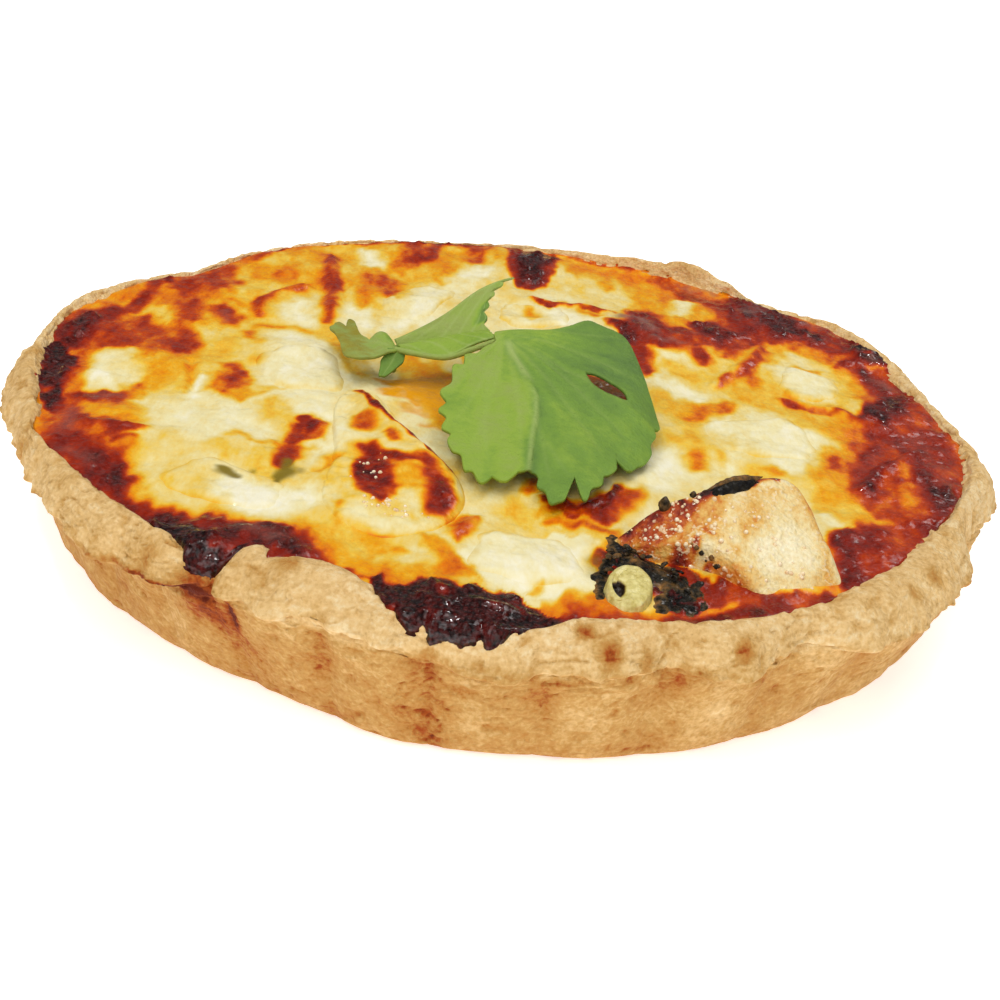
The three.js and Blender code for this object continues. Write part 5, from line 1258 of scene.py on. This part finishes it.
# Darker towards the upper right: painted shade where the blade droops away from the light
hue = (0.40 - 0.16 * ease((x - 2) / 9) * ease((y + 15) / 9) + 0.15 * ease(-beside / 1.5)
       + 0.05 * noise(x, y, 0, 4, 94) + 0.07 * streaks - 0.05 * ease((-24 - y) / 6)
       - 0.10 * bell(beside - 0.35, 0.4) * ease((-8 - y) / 4) + 0.1 * ease((y + 4) / 5) * ease((7 - x) / 6))
midrib = bell(beside * 0.9, 0.45) * ease((-1 - y) / 1.5) * ease((y + 11.5) / 3)
# Painted highlight: a pale line along the lit edge of the left half where it folds over, in the vein mark
lit_edge = 0.6 * bell(beside + 0.25, 0.22) * ease((-11 - y) / 2)
make_leaf("leaf_blade", points_at(x, y, z), True, hue, 0.16 * ribs + 0.75 * midrib + lit_edge,
          ["coriander_sprig"])

# The back leaflet, folded along its rib: one half stands up behind it and one lies in front
RIB = [(-14.7, -0.1, 20.2), (-9.1, 2.2, 21.2), (-6.1, 2.6, 22), (-3.7, 2.6, 22.6)]
STANDING = [(-15.1, 0.2, 20.7), (-9.6, 5.2, 23.2), (-5.6, 8.6, 25.4), (-1.6, 11.6, 27)]
LYING = [(-14.3, -0.5, 20), (-8.7, -1.7, 20.4), (-5.2, -0.6, 21.6), (-2.6, 0, 22.9)]
# Name, far edge, hue, depth of the teeth, shade at the tip, darkening outwards and side that faces up
for name, far_edge, tint, teeth, shade, darkening, facing in (
    ("leaflet_back", STANDING, 0.66, 0.10, 0.36, 0, -1),
    ("leaflet_back_front_half", LYING, 0.60, 0.03, 0, 0.08, 1),
):
    rib, far = through(RIB, 24), through(far_edge, 24)
    s, t = np.linspace(0, 1, 33), np.linspace(0, 1, len(rib))[:, None]
    grid = mix(rib[:, None], far[:, None], s[:, None])
    notch = teeth * (np.sin(np.pi * s) ** 0.8 + 0.35 * np.sin(5 * np.pi * s) ** 2) * ease((t - 0.7) / 0.3)
    grid[..., 0] -= 14 * notch
    grid[..., 2] += 0.3 * np.sin(7 * t + 3 * s) * s + 0.5 * np.sin(np.pi * s) * np.sin(np.pi * t)
    hue = (tint + 0.06 * noise(*np.moveaxis(grid, -1, 0), 2, 96) - darkening * s
           - shade * ease((t - 0.62) / 0.2) * ease((0.62 - s) / 0.2) * ease((s - 0.08) / 0.1))
    vein = 0.35 * ease((np.abs(np.sin(16 * t - 5 * s)) - 0.9) / 0.1) + 0.5 * bell(s - 0.97, 0.05)
    make_leaf(name, grid[::facing], False, hue[::facing], vein[::facing])

# The left leaflet, deeply toothed at its tip, and its lower lobe that hangs down to the custard
LOBED = [
    (-14.6, -1), (-16.2, -2.7), (-17.6, -3.9), (-19, -5), (-20.6, -4.2), (-21.7, -0.5), (-22.6, 2.3),
    (-23.7, 4.5), (-23.4, 5.7), (-23.4, 7.6), (-23.1, 8.8), (-22.5, 7.5), (-21.9, 5.5), (-22, 9.3),
    (-21.1, 8.4), (-20.3, 5.4), (-19.5, 3.1), (-18.7, 2), (-18, 1.2), (-17.6, 3.1), (-16.7, 3.8),
    (-15.7, 2.3), (-14.9, 0.5),
]
inwards = (1 - np.linspace(0, 0.985, 30))[:, None, None]
x, y = np.moveaxis(mix(np.array([-19.2, -0.8]), outlined(LOBED, 8), inwards), -1, 0)
z = (19.7 + 0.35 * noise(x, y, 0, 3, 99) + 0.25 * np.sin(1.1 * x + 0.5 * y)
     - 0.03 * (x + 19) ** 2 * (x < -19))
hue = 0.8 + noises(x, y, 0, (0.10, 2, 100), (0.05, 0.7, 101)) - 0.22 * ease((x + 18.5) / 3)
make_leaf("leaflet_left", points_at(x, y, z), True, hue,
          0.3 * veins(x, y, (-14.9, 0), [(-22.5, 7), (-23, 3), (-20, -4)]))
line = through([(-14.7, -0.6, 19.9), (-15, -2, 18.9), (-15.9, -4.2, 17.6)], 14)
s, t = np.linspace(-1, 1, 15), np.linspace(0, 1, len(line))[:, None]
width = 1.5 * np.sin(np.pi * np.minimum(1, 0.25 + 0.7 * t)) ** 0.8 * (1 - 0.16 * np.abs(np.sin(6 * t)))
grid = line[:, None] + np.array([0.95, 0.25, -0.1]) * (s * width)[..., None]
# Painted shade: the lobe hanging down into shade gets a darker green than the leaflet above
hue = 0.28 + 0.08 * noise(*np.moveaxis(grid, -1, 0), 1.2, 102)
make_leaf("leaflet_left_lobe", grid[:, ::-1], False, hue, 0.3 * bell(s, 0.1))

# Stalks: a thin one along the fold to the blade and a short one down into the custard
STALK_COLUMNS = 20
for name, path, thick in (
    ("stalk_blade", [(-15, -0.6, 19.9), (-8.9, -2.1, 20.2), (-5.4, -1.4, 21.5), (-2.6, -0.8, 22.8)], 0.36),
    ("stalk_foot", [(-14.7, -0.4, 20), (-14.9, 0.4, 18.6), (-15.2, 1.4, 16.4)], 0.5),
):
    line = through(path, 16)
    tangent = unit(np.gradient(line, axis=0))
    sideways = unit(np.cross(tangent, [0, 0.3, 1]))
    t = (np.arange(STALK_COLUMNS) * 2 * math.pi / STALK_COLUMNS)[:, None]
    girth = thick * (1 + 0.12 * noise(*line.T, 1.5, 97))[:, None, None]
    tube = line[:, None] + girth * (sideways[:, None] * np.cos(t)
                                    + np.cross(sideways, tangent)[:, None] * np.sin(t))
    make_piece(name, poled(tube), capped(*tube.shape[:2]), LEAF, "coriander", [],
               {"vein": ([], 0.25), "hue": ([], 0.66)})

# Floor. A plain pale table top that the quiche stands on, slightly mottled so that it reads as
# matt.
HALF_SIZE, CELLS, SUNK = 3.0, 24, 0.00005
u, v = np.meshgrid(np.linspace(-HALF_SIZE, HALF_SIZE, CELLS), np.linspace(-HALF_SIZE, HALF_SIZE, CELLS))
mesh = bpy.data.meshes.new("floor")
mesh.from_pydata(points_at(u, v, -SUNK).reshape(-1, 3), [], ring_faces(CELLS, CELLS, closed=False).tolist())
mesh.materials.append(make_finish(
    "pale_floor",
    lambda w: ((w.grain(40) * 0.2 + 0.4).ramp([(0, 250, 250, 249), (1, 253, 253, 252)]),
               w.grain(30) * 0.1 + 0.7, w.grain(5), 0.001),
    Specular_IOR_Level=0.1, Emission_Color=(1, 1, 1, 1), Emission_Strength=0.55))
floor = bpy.data.objects.new("floor", mesh)
bpy.context.scene.collection.objects.link(floor)
